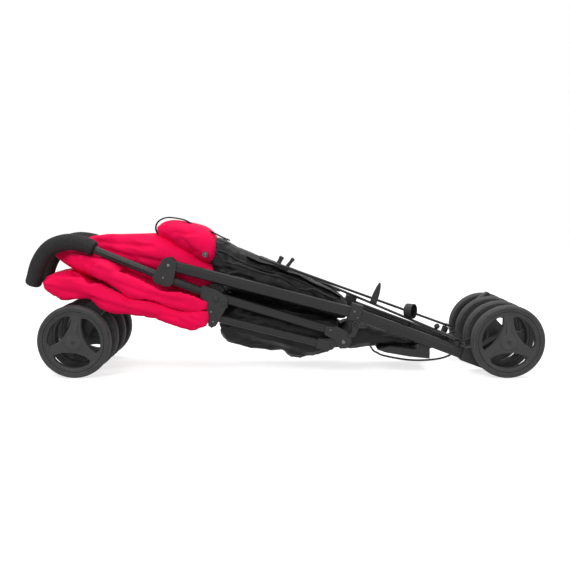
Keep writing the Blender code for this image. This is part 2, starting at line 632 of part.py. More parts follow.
FOOTREST = [(0.195, 0.049), (0.222, 0.055), (0.305, 0.0445), (0.305, 0.030), (0.263, 0.034), (0.212, 0.043)]
WIRE_SIDE = [
    (0.362, 0.0530), (0.352, 0.0360), (0.330, 0.0260), (0.297, 0.0215), (0.263, 0.0220), (0.232, 0.0270),
    (0.205, 0.0340), (0.193, 0.0420)]
SOFT_HALF = 0.046
SIDE_CLOTH = 0.0045         # thickness of the canopy's side panels, which hang outside the front legs
SIDE_AT_HUB = 0.0800        # their inner face beside the hub castings
SIDE_AT_CASTER = 0.0865     # and beside the wider caster sockets
WIRE_D = 0.0044


def canopy_side(side):
    """One side panel of the canopy: a flat outline that leans outwards from the hub to the caster socket."""
    sign = SIDES[side]
    hub_x, caster_x = -0.215, -0.300
    made = bmesh.new()
    loops = []
    for thick in (0.0, SIDE_CLOTH):
        loop = []
        for x, z in CANOPY_SIDE:
            share = min(max((x - hub_x) / (caster_x - hub_x), 0.0), 1.0)
            y = SIDE_AT_HUB + (SIDE_AT_CASTER - SIDE_AT_HUB) * share + thick
            loop.append(made.verts.new(place((x, z), sign * y)))
        loops.append(loop)
        made.faces.new(loop)
    for index in range(len(CANOPY_SIDE)):
        following = (index + 1) % len(CANOPY_SIDE)
        made.faces.new((loops[0][index], loops[0][following], loops[1][following], loops[1][index]))
    bmesh.ops.triangulate(made, faces=[face for face in made.faces if len(face.verts) > 4])
    mesh = bpy.data.meshes.new(f"canopy_side_{side}")
    made.to_mesh(mesh)
    made.free()
    return node(f"canopy_side_{side}", mesh, None)


def soft_goods():
    """The folded canopy, the seat and the basket, each a plain closed form between the side frames."""
    hub = place(CANOPY_PIVOT, 0)
    leg = place(FOLD_PIVOT, 0)
    pillow("canopy_top_panel", CANOPY_TOP, 0.026, 0.044, "red_fabric")
    pillow("canopy_rear_panel", CANOPY_REAR, 0.026, SOFT_HALF, "red_fabric")
    front = pillow("canopy_front_panel", CANOPY_FRONT, 0.040, 0.050, "red_fabric", axis=hub)
    nose_half = SIDE_AT_CASTER + SIDE_CLOTH
    join(front, plate("canopy_nose", CANOPY_NOSE, -nose_half, nose_half, None), *map(canopy_side, SIDES))
    pillow("seat_back_head", HEAD_FLAP, 0.050, 0.052, "red_fabric")
    pillow("seat_back", SEAT_BACK, 0.054, 0.050, "black_fabric")
    pillow("seat_pad", SEAT_PAD, 0.044, 0.048, "black_fabric")
    pillow("parcel_basket", BASKET, 0.050, 0.050, "black_fabric", axis=leg)


def canopy_clip(side):
    """The clip on the inner face of the hub casting, which the canopy's bows turn with."""
    sign = SIDES[side]
    low, high = sorted((sign * 0.0478, sign * 0.0585))
    outline = [(-0.158, 0.190), (-0.131, 0.186), (-0.126, 0.176), (-0.131, 0.163), (-0.150, 0.161), (-0.159, 0.172)]
    clip = plate(f"canopy_clip_{side}", outline, low, high, "moulded_plastic", axis=place(CANOPY_PIVOT, 0))
    return chamfer(clip, 0.0025)


def footrest():
    """The board under the rear legs, with a lug each side that reaches up to the leg."""
    leg = place(FOLD_PIVOT, 0)
    board = plate("footrest", FOOTREST, -0.0590, 0.0590, "moulded_plastic", axis=leg)
    for side, sign in SIDES.items():
        low, high = sorted((sign * 0.0545, sign * 0.0600))
        lug_outline = [(0.283, 0.0400), (0.305, 0.0400), (0.3035, 0.0800), (0.2830, 0.0880)]
        join(board, plate(f"footrest_lug_{side}", lug_outline, low, high, None))
    return board


def basket_wire():
    """The sprung wire that holds the basket's mouth: one loop from leg to leg under the footrest."""
    half = 0.0560
    left = [place(point, -half) for point in WIRE_SIDE]
    right = [place(point, half) for point in reversed(WIRE_SIDE)]
    path = rounded(left + right, 0.02, 1)
    return swept("basket_wire", path, (WIRE_D, WIRE_D), "steel_wire", steps=6, axis=place(FOLD_PIVOT, 0))


def release_lever():
    """The pointed foot lever of the fold lock, pinned to a saddle on the left brace."""
    low, high, normal = brace_plane()
    start = low + Vector((0, -FRAME_Y, 0)) - normal * BRACE_LAYER
    end = high + Vector((0, FRAME_Y, 0)) - normal * BRACE_LAYER
    at = start.lerp(end, LEVER_AT)
    foot = 0.0062
    hinge = at + normal * (BRACE_SIZE[0] / 2 + foot + 2 * GAP)
    base = (hinge.x - SHIFT_X, hinge.z)
    lean_deg = 68
    fin = [(0.012, -0.0085), (0.022, -0.0060), (0.038, 0.0000), (0.039, 0.0035), (0.027, 0.0055), (0.008, 0.0075)]
    outline = arc(base, foot, lean_deg + 115, lean_deg + 245, 6) + in_frame(base, math.radians(lean_deg), fin)
    lever = plate("release_lever", outline, at.y - 0.0060, at.y + 0.0060, "moulded_plastic", axis=hinge)
    return chamfer(lever, 0.0015)


def brake_pedal():
    """The pointed pedal between the right rear twin wheels."""
    y = FRAME_Y
    pivot = place(PEDAL_PIVOT, y)
    outline = [(0.3920, 0.0790), (0.4010, 0.0730), (0.4085, 0.0790), (0.4200, 0.1120), (0.4500, 0.1420),
               (0.4640, 0.1520), (0.4560, 0.1570), (0.4380, 0.1440), (0.4100, 0.1200)]
    pedal = chamfer(plate("brake_pedal", outline, y - 0.0090, y + 0.0090, "moulded_plastic", axis=pivot), 0.002)
    return cut(pedal, rod("pedal_bore", pivot, PEDAL_PIN_R + 0.0005, -0.02, 0.02, None, steps=10))


def build():
    clear_scene()
    for side in SIDES:
        handle(side)
        seat_tube(side)
        rear_leg(side)
        front_leg(side)
        fold_bracket(side)
        hub_plate(side)
        knee_fork(side)
        knee_knuckle(side)
        caster_socket(side)
        caster_fork(side)
        rear_housing(side)
        leg_clamp(side)
        twin_wheels("rear", AXLE_REAR, side, 92)
        twin_wheels("front", AXLE_FRONT, side, 82)
        cross_brace(side)
        brace_mount(side)
        canopy_clip(side)
    soft_goods()
    footrest()
    basket_wire()
    release_lever()
    latch_hook()
    brake_pedal()


build()
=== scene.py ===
"""The looks of a folded umbrella pushchair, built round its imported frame.

+X runs from the handle grips to the rear wheels, +Y from the pushchair's left side to its right side and +Z
up. The folded pushchair lies on its eight wheels, with its left side towards the camera.
"""

import json
import logging
import math
from dataclasses import dataclass, field
from enum import Enum

import bmesh
import bpy
import numpy as np
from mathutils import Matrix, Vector


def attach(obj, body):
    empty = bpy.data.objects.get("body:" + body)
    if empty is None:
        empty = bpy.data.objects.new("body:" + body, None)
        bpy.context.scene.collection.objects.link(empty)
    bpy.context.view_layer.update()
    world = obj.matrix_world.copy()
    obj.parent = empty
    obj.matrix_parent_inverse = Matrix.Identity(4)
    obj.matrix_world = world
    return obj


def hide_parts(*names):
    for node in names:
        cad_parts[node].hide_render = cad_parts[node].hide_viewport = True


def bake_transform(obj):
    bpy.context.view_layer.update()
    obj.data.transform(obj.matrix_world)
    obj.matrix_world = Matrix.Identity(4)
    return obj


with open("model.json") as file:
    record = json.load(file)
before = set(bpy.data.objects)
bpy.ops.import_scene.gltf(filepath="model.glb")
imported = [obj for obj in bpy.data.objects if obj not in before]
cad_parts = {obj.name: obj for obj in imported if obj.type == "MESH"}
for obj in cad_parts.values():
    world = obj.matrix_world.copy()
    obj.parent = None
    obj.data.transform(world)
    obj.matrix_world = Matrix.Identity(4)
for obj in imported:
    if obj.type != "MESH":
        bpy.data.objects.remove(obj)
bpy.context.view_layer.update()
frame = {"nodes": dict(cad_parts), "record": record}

LOG = logging.getLogger("pushchair")

# Metres. A point is (x, z) in the side view, as the design gives it, without the centring shift SHIFT_X.
SHIFT_X = 0.00775
FRAME_Y = 0.069
WHEEL_R = 0.075
RIM_R = 0.0625
TYRE_HALF = 0.013
TWIN_Y = 0.033
AXLE_REAR = (0.455, WHEEL_R)
AXLE_FRONT = (-0.430, WHEEL_R)
FOLD_PIVOT = (-0.2393, 0.2289)
HANDLE_BEND = (-0.383, 0.2533)
HUB = (-0.1575, 0.1690)
SEAT_TUBE_END = (0.106, 0.0890)
KNEE = (0.1211, 0.0696)
FRONT_LEG_TOP = (0.100, 0.0585)
CASTER_TOP = (-0.355, 0.172)
LEG_BEND = (0.1455, 0.1285)
REAR_LEG_END = (0.425, 0.0235)
TUBE_WIDE = 0.0150
GRIP_POINTS = ((-0.420, 0.2705), (-0.456, 0.2745), (-0.492, 0.262), (-0.5165, 0.232), (-0.5295, 0.196))
GRIP_YS = (0.046, 0.043, 0.040, 0.038, 0.036)
BEND_Y = 0.050

Array = np.ndarray
Point2 = tuple[float, float]
Piece = bpy.types.Object
Material = bpy.types.Material
Socket = bpy.types.NodeSocket
UP_Y = np.array([0.0, 1.0, 0.0])


class Side(Enum):
    """The pushchair's two sides, each with its direction along Y."""

    LEFT = -1.0
    RIGHT = 1.0

    @property
    def label(self) -> str:
        """The side's name in piece and body names."""
        return self.name.lower()


class Lay(Enum):
    """Which two bodies a stretch of fabric spans."""

    FRAME = ("left_frame", "right_frame")
    CANOPY = ("canopy_left", "canopy_right")
    REAR = ("left_rear_leg", "right_rear_leg")


# Small geometry helpers


def unit(vectors: Array) -> Array:
    """Each row divided by its own length."""
    return vectors / np.maximum(np.linalg.norm(vectors, axis=-1, keepdims=True), 1e-12)


def smoothstep(values: Array, low: float, high: float) -> Array:
    """0 below low, 1 above high, and 3t^2 - 2t^3 between them."""
    t = np.clip((np.asarray(values, float) - low) / (high - low), 0.0, 1.0)
    return t * t * (3 - 2 * t)


def full_turn(steps: int) -> Array:
    """Angles spaced evenly once round, in radians."""
    return np.linspace(0, 2 * math.pi, steps, endpoint=False)


def between(first: Point2, last: Point2, share: float) -> Point2:
    """The point at that share of the way from first to last."""
    return tuple(first[k] + (last[k] - first[k]) * share for k in range(2))


def in_space(points: Array, y: float | Array) -> Array:
    """Side view points (x, z) on the plane at y, in the frame's own place.

    Args:
        points: rows of x and z, as the design gives them, without the centring shift.
        y: one distance across, or one for each point.

    Returns:
        Rows of x, y and z.
    """
    flat = np.asarray(points, float)
    return np.stack([flat[:, 0] + SHIFT_X, np.broadcast_to(y, len(flat)), flat[:, 1]], axis=1)


def spline(points: Array, count: int, closed: bool = False) -> Array:
    """A Catmull-Rom curve through the points: each span is the cubic whose end slopes are half the chord
    between the points on either side.

    Args:
        points: rows of any number of coordinates.
        count: how many points the result has, spaced evenly along it.
        closed: whether the curve returns to its first point.

    Returns:
        The curve's points.
    """
    base = np.asarray(points, float)
    if closed:
        padded = np.vstack([base[-1], base, base[0], base[1]])
    else:
        padded = np.vstack([2 * base[0] - base[1], base, 2 * base[-1] - base[-2]])
    spans = len(padded) - 3
    t = np.linspace(0, spans, spans * 24 + 1)[:-1] if closed else np.linspace(0, spans, spans * 24 + 1)
    index = np.minimum(t.astype(int), spans - 1)
    u = (t - index)[:, None]
    p0, p1, p2, p3 = (padded[index + k] for k in range(4))
    slope = (p2 - p0) * u + (2 * p0 - 5 * p1 + 4 * p2 - p3) * u**2 + (3 * p1 - p0 - 3 * p2 + p3) * u**3
    curve = p1 + 0.5 * slope
    ring = np.vstack([curve, curve[:1]]) if closed else curve
    length = np.concatenate([[0], np.cumsum(np.linalg.norm(np.diff(ring, axis=0), axis=1))])
    where = np.linspace(0, length[-1], count + 1)[:-1] if closed else np.linspace(0, length[-1], count)
    return np.stack([np.interp(where, length, ring[:, k]) for k in range(ring.shape[1])], axis=1)


def ripple(points: Array, size: float | tuple, seed: int, waves: int = 9) -> Array:
    """Smooth noise of about -1 to 1: a sum of plane sine waves with random directions and phases, each about
    size metres long.

    Args:
        points: rows of x, y and z.
        size: the mean wavelength in metres, one number or one for each axis.
        seed: picks the directions and phases.
        waves: how many waves are added.

    Returns:
        One value a point.
    """
    rng = np.random.default_rng(seed)
    total = np.zeros(len(points))
    for _ in range(waves):
        direction = unit(rng.normal(size=(1, 3)))[0]
        length = rng.uniform(0.7, 1.5)
        phase = rng.uniform(0, 2 * math.pi)
        total += np.sin(2 * math.pi * (points / np.asarray(size)) @ direction / length + phase)
    return total / math.sqrt(waves) * 0.8


def to_line(points: Array, line: Array) -> Array:
    """Each point's distance from a polyline in the side view: the least of its distances from the segments,
    where the foot on a segment is the projection, clamped to the segment's ends.

    Args:
        points: rows of x and z.
        line: the polyline's corners, rows of x and z.

    Returns:
        One distance a point.
    """
    start, way = line[:-1], np.diff(line, axis=0)
    squared = np.maximum((way**2).sum(axis=1), 1e-12)
    share = np.einsum("psk,sk->ps", points[:, None, :] - start[None], way) / squared
    foot = start[None] + np.clip(share, 0, 1)[..., None] * way[None]
    return np.linalg.norm(points[:, None, :] - foot, axis=2).min(axis=1)


def mesh_piece(name: str, verts: Array, faces: list | Array, smooth_deg: float = 40.0) -> Piece:
    """A new object with its place in its mesh.

    Args:
        name: the piece's name.
        verts: rows of x, y and z.
        faces: lists of vertex numbers.
        smooth_deg: edges sharper than this stay sharp.

    Returns:
        The linked object.
    """
    mesh = bpy.data.meshes.new(name)
    mesh.from_pydata(np.asarray(verts, float).tolist(), [], [tuple(int(i) for i in f) for f in faces])
    mesh.validate()
    mesh.shade_smooth()
    mesh.set_sharp_from_angle(angle=math.radians(smooth_deg))
    obj = bpy.data.objects.new(name, mesh)
    bpy.context.scene.collection.objects.link(obj)
    return obj


def grid_faces(rows: int, columns: int, close_rows: bool, close_columns: bool, start: int = 0) -> Array:
    """The quads of a grid of vertices numbered row by row from start."""
    r = np.arange(rows if close_rows else rows - 1)[:, None]
    c = np.arange(columns if close_columns else columns - 1)[None, :]
    row, next_row = r * columns, (r + 1) % rows * columns
    right = (c + 1) % columns
    quads = np.stack([row + c, row + right, next_row + right, next_row + c], axis=-1)
    return quads.reshape(-1, 4) + start


@dataclass
class Shell:
    """Vertices and faces that grow as surfaces are added, then become one piece."""

    verts: list[Array] = field(default_factory=list)
    faces: list[list[int]] = field(default_factory=list)
    count: int = 0

    def grid(self, points: Array, close_rows: bool = False, close_columns: bool = True,
             caps: bool = True) -> None:
        """Adds a grid of points (rows, columns, 3), closed at its first and last row by a fan of triangles.

        Args:
            points: the surface's points.
            close_rows: whether the last row joins the first.
            close_columns: whether the last column joins the first.
            caps: whether the open ends are closed.
        """
        rows, columns, _ = points.shape
        self.faces.extend(grid_faces(rows, columns, close_rows, close_columns, self.count).tolist())
        self.verts.append(points.reshape(-1, 3))
        first = self.count
        self.count += rows * columns
        if caps and not close_rows:
            for row, turned_round in ((0, True), (rows - 1, False)):
                self.verts.append(points[row].mean(axis=0, keepdims=True))
                ring = first + row * columns + np.arange(columns)
                following = np.roll(ring, -1)
                hub = np.full(columns, self.count)
                fan = np.stack([ring, hub, following] if turned_round else [ring, following, hub], axis=1)
                self.faces.extend(fan.tolist())
                self.count += 1

    def piece(self, name: str, smooth_deg: float = 40.0) -> Piece:
        """The finished object, its doubles merged and then its faces turned outwards."""
        obj = mesh_piece(name, np.vstack(self.verts), self.faces, smooth_deg)
        made = bmesh.new()
        made.from_mesh(obj.data)
        bmesh.ops.remove_doubles(made, verts=made.verts, dist=1e-6)
        bmesh.ops.recalc_face_normals(made, faces=made.faces)
        made.to_mesh(obj.data)
        made.free()
        obj.data.shade_smooth()
        obj.data.set_sharp_from_angle(angle=math.radians(smooth_deg))
        return obj


def superellipse(angle: Array, power: float) -> tuple[Array, Array]:
    """cos and sin of angle, each raised to 2/power with its sign kept: a circle at 2, squarer above it."""
    c, s = np.cos(angle), np.sin(angle)
    return np.sign(c) * np.abs(c) ** (2 / power), np.sign(s) * np.abs(s) ** (2 / power)


def carried(path: Array, section: Array, scale: Array | None = None, across: Array = UP_Y) -> Array:
    """A section carried along a path: at each path point, its first coordinate runs along the path's upward
    normal and its second along the direction across.

    Args:
        path: rows of x, y and z.
        section: rows of height and width.
        scale: one factor a path point, or one for the height and one for the width.
        across: the direction that the section's width follows.

    Returns:
        A grid of points, one row a path point.
    """
    tangent = unit(np.gradient(path, axis=0))
    up = unit(np.cross(tangent, across))
    side = unit(np.cross(up, tangent))
    factor = np.ones((len(path), 1)) if scale is None else np.asarray(scale).reshape(len(path), -1)
    tall, wide = factor[:, :1, None] * section[None, :, :1], factor[:, -1:, None] * section[None, :, 1:]
    return path[:, None, :] + up[:, None, :] * tall + side[:, None, :] * wide


def turned(profile: Array, centre: Array, axis: Array, steps: int = 96) -> Array:
    """A profile of radius and distance along the axis, carried round the axis.

    Args:
        profile: rows of radius and distance along the axis.
        centre: the axis's origin.
        axis: the axis's direction.
        steps: how many stations go round.

    Returns:
        A grid of points, one row a profile point.
    """
    axis = unit(np.asarray(axis, float)[None])[0]
    first = unit(np.cross(axis, [0.0, 0.0, 1.0] if abs(axis[2]) < 0.9 else [1.0, 0.0, 0.0])[None])[0]
    second = np.cross(axis, first)
    angle = full_turn(steps)
    ring = np.cos(angle)[:, None] * first + np.sin(angle)[:, None] * second
    return np.asarray(centre) + profile[:, None, :1] * ring[None] + profile[:, None, 1:] * axis


def flat_section(width: float, thick: float, steps: int = 20, power: float = 4.0) -> Array:
    """A flat strap's rounded section: height is its thickness, width lies across."""
    wide, tall = superellipse(full_turn(steps), power)
    return np.stack([tall * thick / 2, wide * width / 2], axis=1)


def round_section(radius: float, steps: int = 14) -> Array:
    """A round section."""
    angle = full_turn(steps)
    return np.stack([np.cos(angle), np.sin(angle)], axis=1) * radius


# Finishes


@dataclass
class Graph:
    """A material's node tree, with short calls for the nodes that the finishes share."""

    name: str

    def __post_init__(self) -> None:
        """Makes the material with its Principled shader and the object's own coordinates."""
        self.material = bpy.data.materials.new(self.name)
        self.material.use_nodes = True
        self.tree = self.material.node_tree
        self.shader = self.tree.nodes["Principled BSDF"]
        self.where = self.add("ShaderNodeTexCoord").outputs["Object"]

    def add(self, kind: str, **values: object) -> bpy.types.Node:
        """A new node with its properties set."""
        node = self.tree.nodes.new(kind)
        for key, value in values.items():
            setattr(node, key, value)
        return node

    def link(self, source: Socket, target: Socket) -> None:
        """Joins an output to an input."""
        self.tree.links.new(source, target)

    def placed(self, scale: tuple[float, float, float], slope_deg: float = 0.0) -> Socket:
        """The coordinates turned about Y by the slope, then scaled axis by axis."""
        turn = self.add("ShaderNodeMapping", vector_type="POINT")
        turn.inputs["Rotation"].default_value = (0.0, math.radians(slope_deg), 0.0)
        self.link(self.where, turn.inputs["Vector"])
        grow = self.add("ShaderNodeMapping", vector_type="POINT")
        grow.inputs["Scale"].default_value = scale
        self.link(turn.outputs["Vector"], grow.inputs["Vector"])
        return grow.outputs["Vector"]

    def noise(self, size: float, detail: float = 2.0, rough: float = 0.5,
              source: Socket | None = None) -> Socket:
        """Noise whose features are about size metres across."""
        node = self.add("ShaderNodeTexNoise")
        node.inputs["Scale"].default_value = 1.0 / size
        node.inputs["Detail"].default_value = detail
        node.inputs["Roughness"].default_value = rough
        self.link(source or self.where, node.inputs["Vector"])
        return node.outputs["Fac"]

    def ramp(self, source: Socket, low: tuple, high: tuple, start: float = 0.3, end: float = 0.7) -> Socket:
        """A colour that runs from low to high as the source runs from start to end."""
        node = self.add("ShaderNodeValToRGB")
        first, last = node.color_ramp.elements
        first.position, last.position = start, end
        first.color, last.color = (*low, 1.0), (*high, 1.0)
        self.link(source, node.inputs["Fac"])
        return node.outputs["Color"]

    def spread(self, source: Socket, low: float, high: float) -> Socket:
        """A number that runs from low to high as the source runs from 0.25 to 0.75."""
        node = self.add("ShaderNodeMapRange")
        node.inputs["From Min"].default_value = 0.25
        node.inputs["From Max"].default_value = 0.75
        node.inputs["To Min"].default_value = low
        node.inputs["To Max"].default_value = high
        self.link(source, node.inputs["Value"])
        return node.outputs["Result"]

    def bump(self, source: Socket, height: float, under: Socket | None = None) -> Socket:
        """A bump of that height in metres, on top of another."""
        node = self.add("ShaderNodeBump")
        node.inputs["Strength"].default_value = 1.0
        node.inputs["Distance"].default_value = height
        self.link(source, node.inputs["Height"])
        if under:
            self.link(under, node.inputs["Normal"])
        return node.outputs["Normal"]

    def cells(self, size: float) -> Socket:
        """The distance from the nearest cell's middle, for cells of about size metres."""
        node = self.add("ShaderNodeTexVoronoi")
        node.inputs["Scale"].default_value = 1.0 / size
        self.link(self.where, node.inputs["Vector"])
        return node.outputs["Distance"]

    def combined(self, operation: str, first: Socket, second: Socket) -> Socket:
        """Two numbers joined by one arithmetic operation."""
        node = self.add("ShaderNodeMath", operation=operation)
        self.link(first, node.inputs[0])
        self.link(second, node.inputs[1])
        return node.outputs[0]

    def drive(self, name: str, source: Socket) -> None:
        """Joins an output to one of the shader's inputs."""
        self.link(source, self.shader.inputs[name])

    def level(self, name: str, value: object) -> None:
        """Sets one uniform value on the shader."""
        self.shader.inputs[name].default_value = value

    def tone(self, source: Socket, colour: tuple, dark: float, light: float) -> None:
        """Runs the base colour from dark to light times the colour as the source rises."""
        self.drive("Base Color", self.ramp(source, shade(colour, dark), shade(colour, light)))

    def gloss(self, source: Socket, middle: float, less: float, more: float) -> None:
        """Runs the roughness from less below to more above its middle value as the source rises."""
        self.drive("Roughness", self.spread(source, middle - less, middle + more))


def shade(colour: tuple, factor: float) -> tuple:
    """The colour made lighter or darker."""
    return tuple(min(1.0, c * factor) for c in colour)


# A wave texture's scale times the length of its waves
WAVE_SCALE = 0.314


@dataclass(frozen=True)
class WovenCloth:
    """Plain woven polyester: crossed threads, soft drawn wrinkles, slight shade changes and sheen."""

    name: str
    colour: tuple[float, float, float]
    thread: float = 0.0011
    roughness: float = 0.72
    sheen: float = 0.1
    specular: float = 0.2
    crumple: float = 0.0006
    slope_deg: float = -20.0

    def make(self) -> Material:
        """Crossed waves for the threads, over wrinkles stretched along the folds."""
        g = Graph(self.name)
        threads = []
        for direction in ("X", "Z", "Y"):
            wave = g.add("ShaderNodeTexWave", bands_direction=direction)
            wave.wave_type, wave.wave_profile = "BANDS", "SIN"
            wave.inputs["Scale"].default_value = WAVE_SCALE / self.thread
            wave.inputs["Distortion"].default_value = 0.6
            wave.inputs["Detail"].default_value = 1.0
            g.link(g.where, wave.inputs["Vector"])
            threads.append(wave.outputs["Fac"])
        weave = g.combined("ADD", g.combined("MULTIPLY", threads[0], threads[1]), threads[2])
        along = g.placed((0.35, 1.0, 1.0), self.slope_deg)
        g.tone(g.noise(0.028, 3.0, 0.5, along), self.colour, 0.86, 1.08)
        g.gloss(g.noise(0.012), self.roughness, 0.07, 0.08)
        creases = g.bump(g.noise(0.011, 4.0, 0.55, along), self.crumple)
        g.drive("Normal", g.bump(weave, 0.00005, creases))
        g.level("Sheen Weight", self.sheen)
        g.level("Sheen Roughness", 0.4)
        g.level("Sheen Tint", (*shade(self.colour, 1.5), 1.0))
        g.level("Specular IOR Level", self.specular)
        return g.material


@dataclass(frozen=True)
class PowderCoat:
    """Satin powder coat on a drawn tube: fine orange peel, drawn streaks and slightly rubbed patches."""

    name: str
    colour: tuple[float, float, float]
    roughness: float = 0.38
    specular: float = 0.26
    slope_deg: float = -17.0

    def make(self) -> Material:
        """Noise stretched along the tubes for streaks, and fine noise for the peel."""
        g = Graph(self.name)
        g.tone(g.noise(0.05, 3.0, 0.6, g.placed((0.15, 1.0, 1.0), self.slope_deg)), self.colour, 0.80, 1.28)
        g.gloss(g.noise(0.02, 4.0), self.roughness, 0.06, 0.12)
        g.drive("Normal", g.bump(g.noise(0.0012, 2.0), 0.00003))
        g.level("Specular IOR Level", self.specular)
        return g.material


@dataclass(frozen=True)
class MouldedPlastic:
    """Injection moulded plastic with a fine spark texture and a little handling wear."""

    name: str
    colour: tuple[float, float, float]
    grain: float = 0.0007
    depth: float = 0.00005
    roughness: float = 0.5
    specular: float = 0.3

    def make(self) -> Material:
        """Cell noise for the grain, broad noise for wear in colour and gloss."""
        g = Graph(self.name)
        g.tone(g.noise(0.025, 4.0, 0.65), self.colour, 0.86, 1.18)
        g.gloss(g.noise(0.008, 3.0), self.roughness, 0.06, 0.10)
        g.drive("Normal", g.bump(g.cells(self.grain), self.depth))
        g.level("Specular IOR Level", self.specular)
        return g.material


@dataclass(frozen=True)
class CellFoam:
    """Closed-cell foam with small pits, as on grips and airless tyres."""

    name: str
    colour: tuple[float, float, float]
    pit: float = 0.0010
    roughness: float = 0.82
    specular: float = 0.25

    def make(self) -> Material:
        """Pits from cell noise, with soft patches of shade."""
        g = Graph(self.name)
        g.tone(g.noise(0.015, 4.0, 0.6), self.colour, 0.85, 1.2)
        g.gloss(g.noise(0.006), self.roughness, 0.08, 0.08)
        lumps = g.bump(g.noise(0.006, 3.0), 0.00015)
        g.drive("Normal", g.bump(g.cells(self.pit), 0.00012, lumps))
        g.level("Specular IOR Level", self.specular)
        return g.material


@dataclass(frozen=True)
class PlatedSteel:
    """Plated steel of rivets and snaps."""

    name: str
    colour: tuple[float, float, float]
    roughness: float = 0.3

    def make(self) -> Material:
        """Metal with fine scratches in its gloss."""
        g = Graph(self.name)
        g.tone(g.noise(0.002, 3.0), self.colour, 0.8, 1.1)
        g.gloss(g.noise(0.001, 2.0), self.roughness, 0.08, 0.15)
        g.level("Metallic", 1.0)
        return g.material


RED = (0.800, 0.0028, 0.070)
BLACK_CLOTH = (0.0075, 0.0073, 0.0079)


class Finishes:
    """Every finish of the pushchair, made once."""

    def __init__(self) -> None:
        """Makes the materials."""
        self.canopy = WovenCloth("canopy_cloth", RED, roughness=0.62, sheen=0.03, specular=0.06).make()
        self.seat = WovenCloth("seat_cloth", BLACK_CLOTH, roughness=0.50, sheen=0.01, specular=0.20,
                               crumple=0.0011).make()
        self.webbing = WovenCloth("webbing", (0.009, 0.009, 0.0095), thread=0.0016, roughness=0.6).make()
        self.piping = WovenCloth("piping", (0.014, 0.014, 0.015), thread=0.0008, roughness=0.5,
                                 crumple=0.0002).make()
        self.tube = PowderCoat("tube_coat", (0.0150, 0.0142, 0.0142), 0.32).make()
        self.wire = PowderCoat("wire_enamel", (0.009, 0.009, 0.0095), roughness=0.3).make()
        self.bracket = MouldedPlastic("bracket_plastic", (0.0190, 0.0186, 0.0188)).make()
        self.rim = MouldedPlastic("wheel_rim_plastic", (0.034, 0.034, 0.035), depth=0.00003,
                                  roughness=0.46).make()
        self.cap = MouldedPlastic("hub_cap_plastic", (0.037, 0.037, 0.038), depth=0.00002,
                                  roughness=0.42).make()
        self.tyre = CellFoam("tyre_compound", (0.046, 0.046, 0.047), pit=0.0014, roughness=0.7).make()
        self.grip = CellFoam("grip_cells", (0.0180, 0.0180, 0.0185)).make()
        self.rivet = PlatedSteel("rivet_zinc", (0.13, 0.13, 0.135)).make()
        self.snap = PlatedSteel("snap_steel", (0.12, 0.12, 0.13), roughness=0.35).make()


def dress(obj: Piece, material: Material) -> Piece:
    """Gives a new piece its material.

    Args:
        obj: the piece.
        material: the finish.

    Returns:
        The same piece.
    """
    obj.data.materials.clear()
    obj.data.materials.append(material)
    return obj


def grid_piece(name: str, surface: Array, smooth_deg: float, material: Material) -> Piece:
    """A dressed piece made of one closed grid of points.

    Args:
        name: the piece's name.
        surface: the grid, one row a station.
        smooth_deg: edges sharper than this stay sharp.
        material: the finish.

    Returns:
        The piece.
    """
    shell = Shell()
    shell.grid(surface)
    return dress(shell.piece(name, smooth_deg), material)


def seat_on(obj: Piece, body: str, *nodes: str) -> Piece:
    """Lets a piece ride on a body and stand for the nodes that it replaces, and reports it."""
    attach(obj, body)
    if nodes:
        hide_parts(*nodes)
    LOG.info("%s rides on %s", obj.name, body)
    return obj


def span(obj: Piece, lay: Lay, half: float = 0.045, *nodes: str) -> Piece:
    """Bakes the piece's place into its mesh and hides the CAD nodes that it replaces.

    Args:
        obj: the piece.
        lay: not used.
        half: not used.
        nodes: the CAD nodes that the piece replaces.

    Returns:
        The same piece.
    """
    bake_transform(obj)
    if nodes:
        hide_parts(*nodes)
    return obj


# Wheels


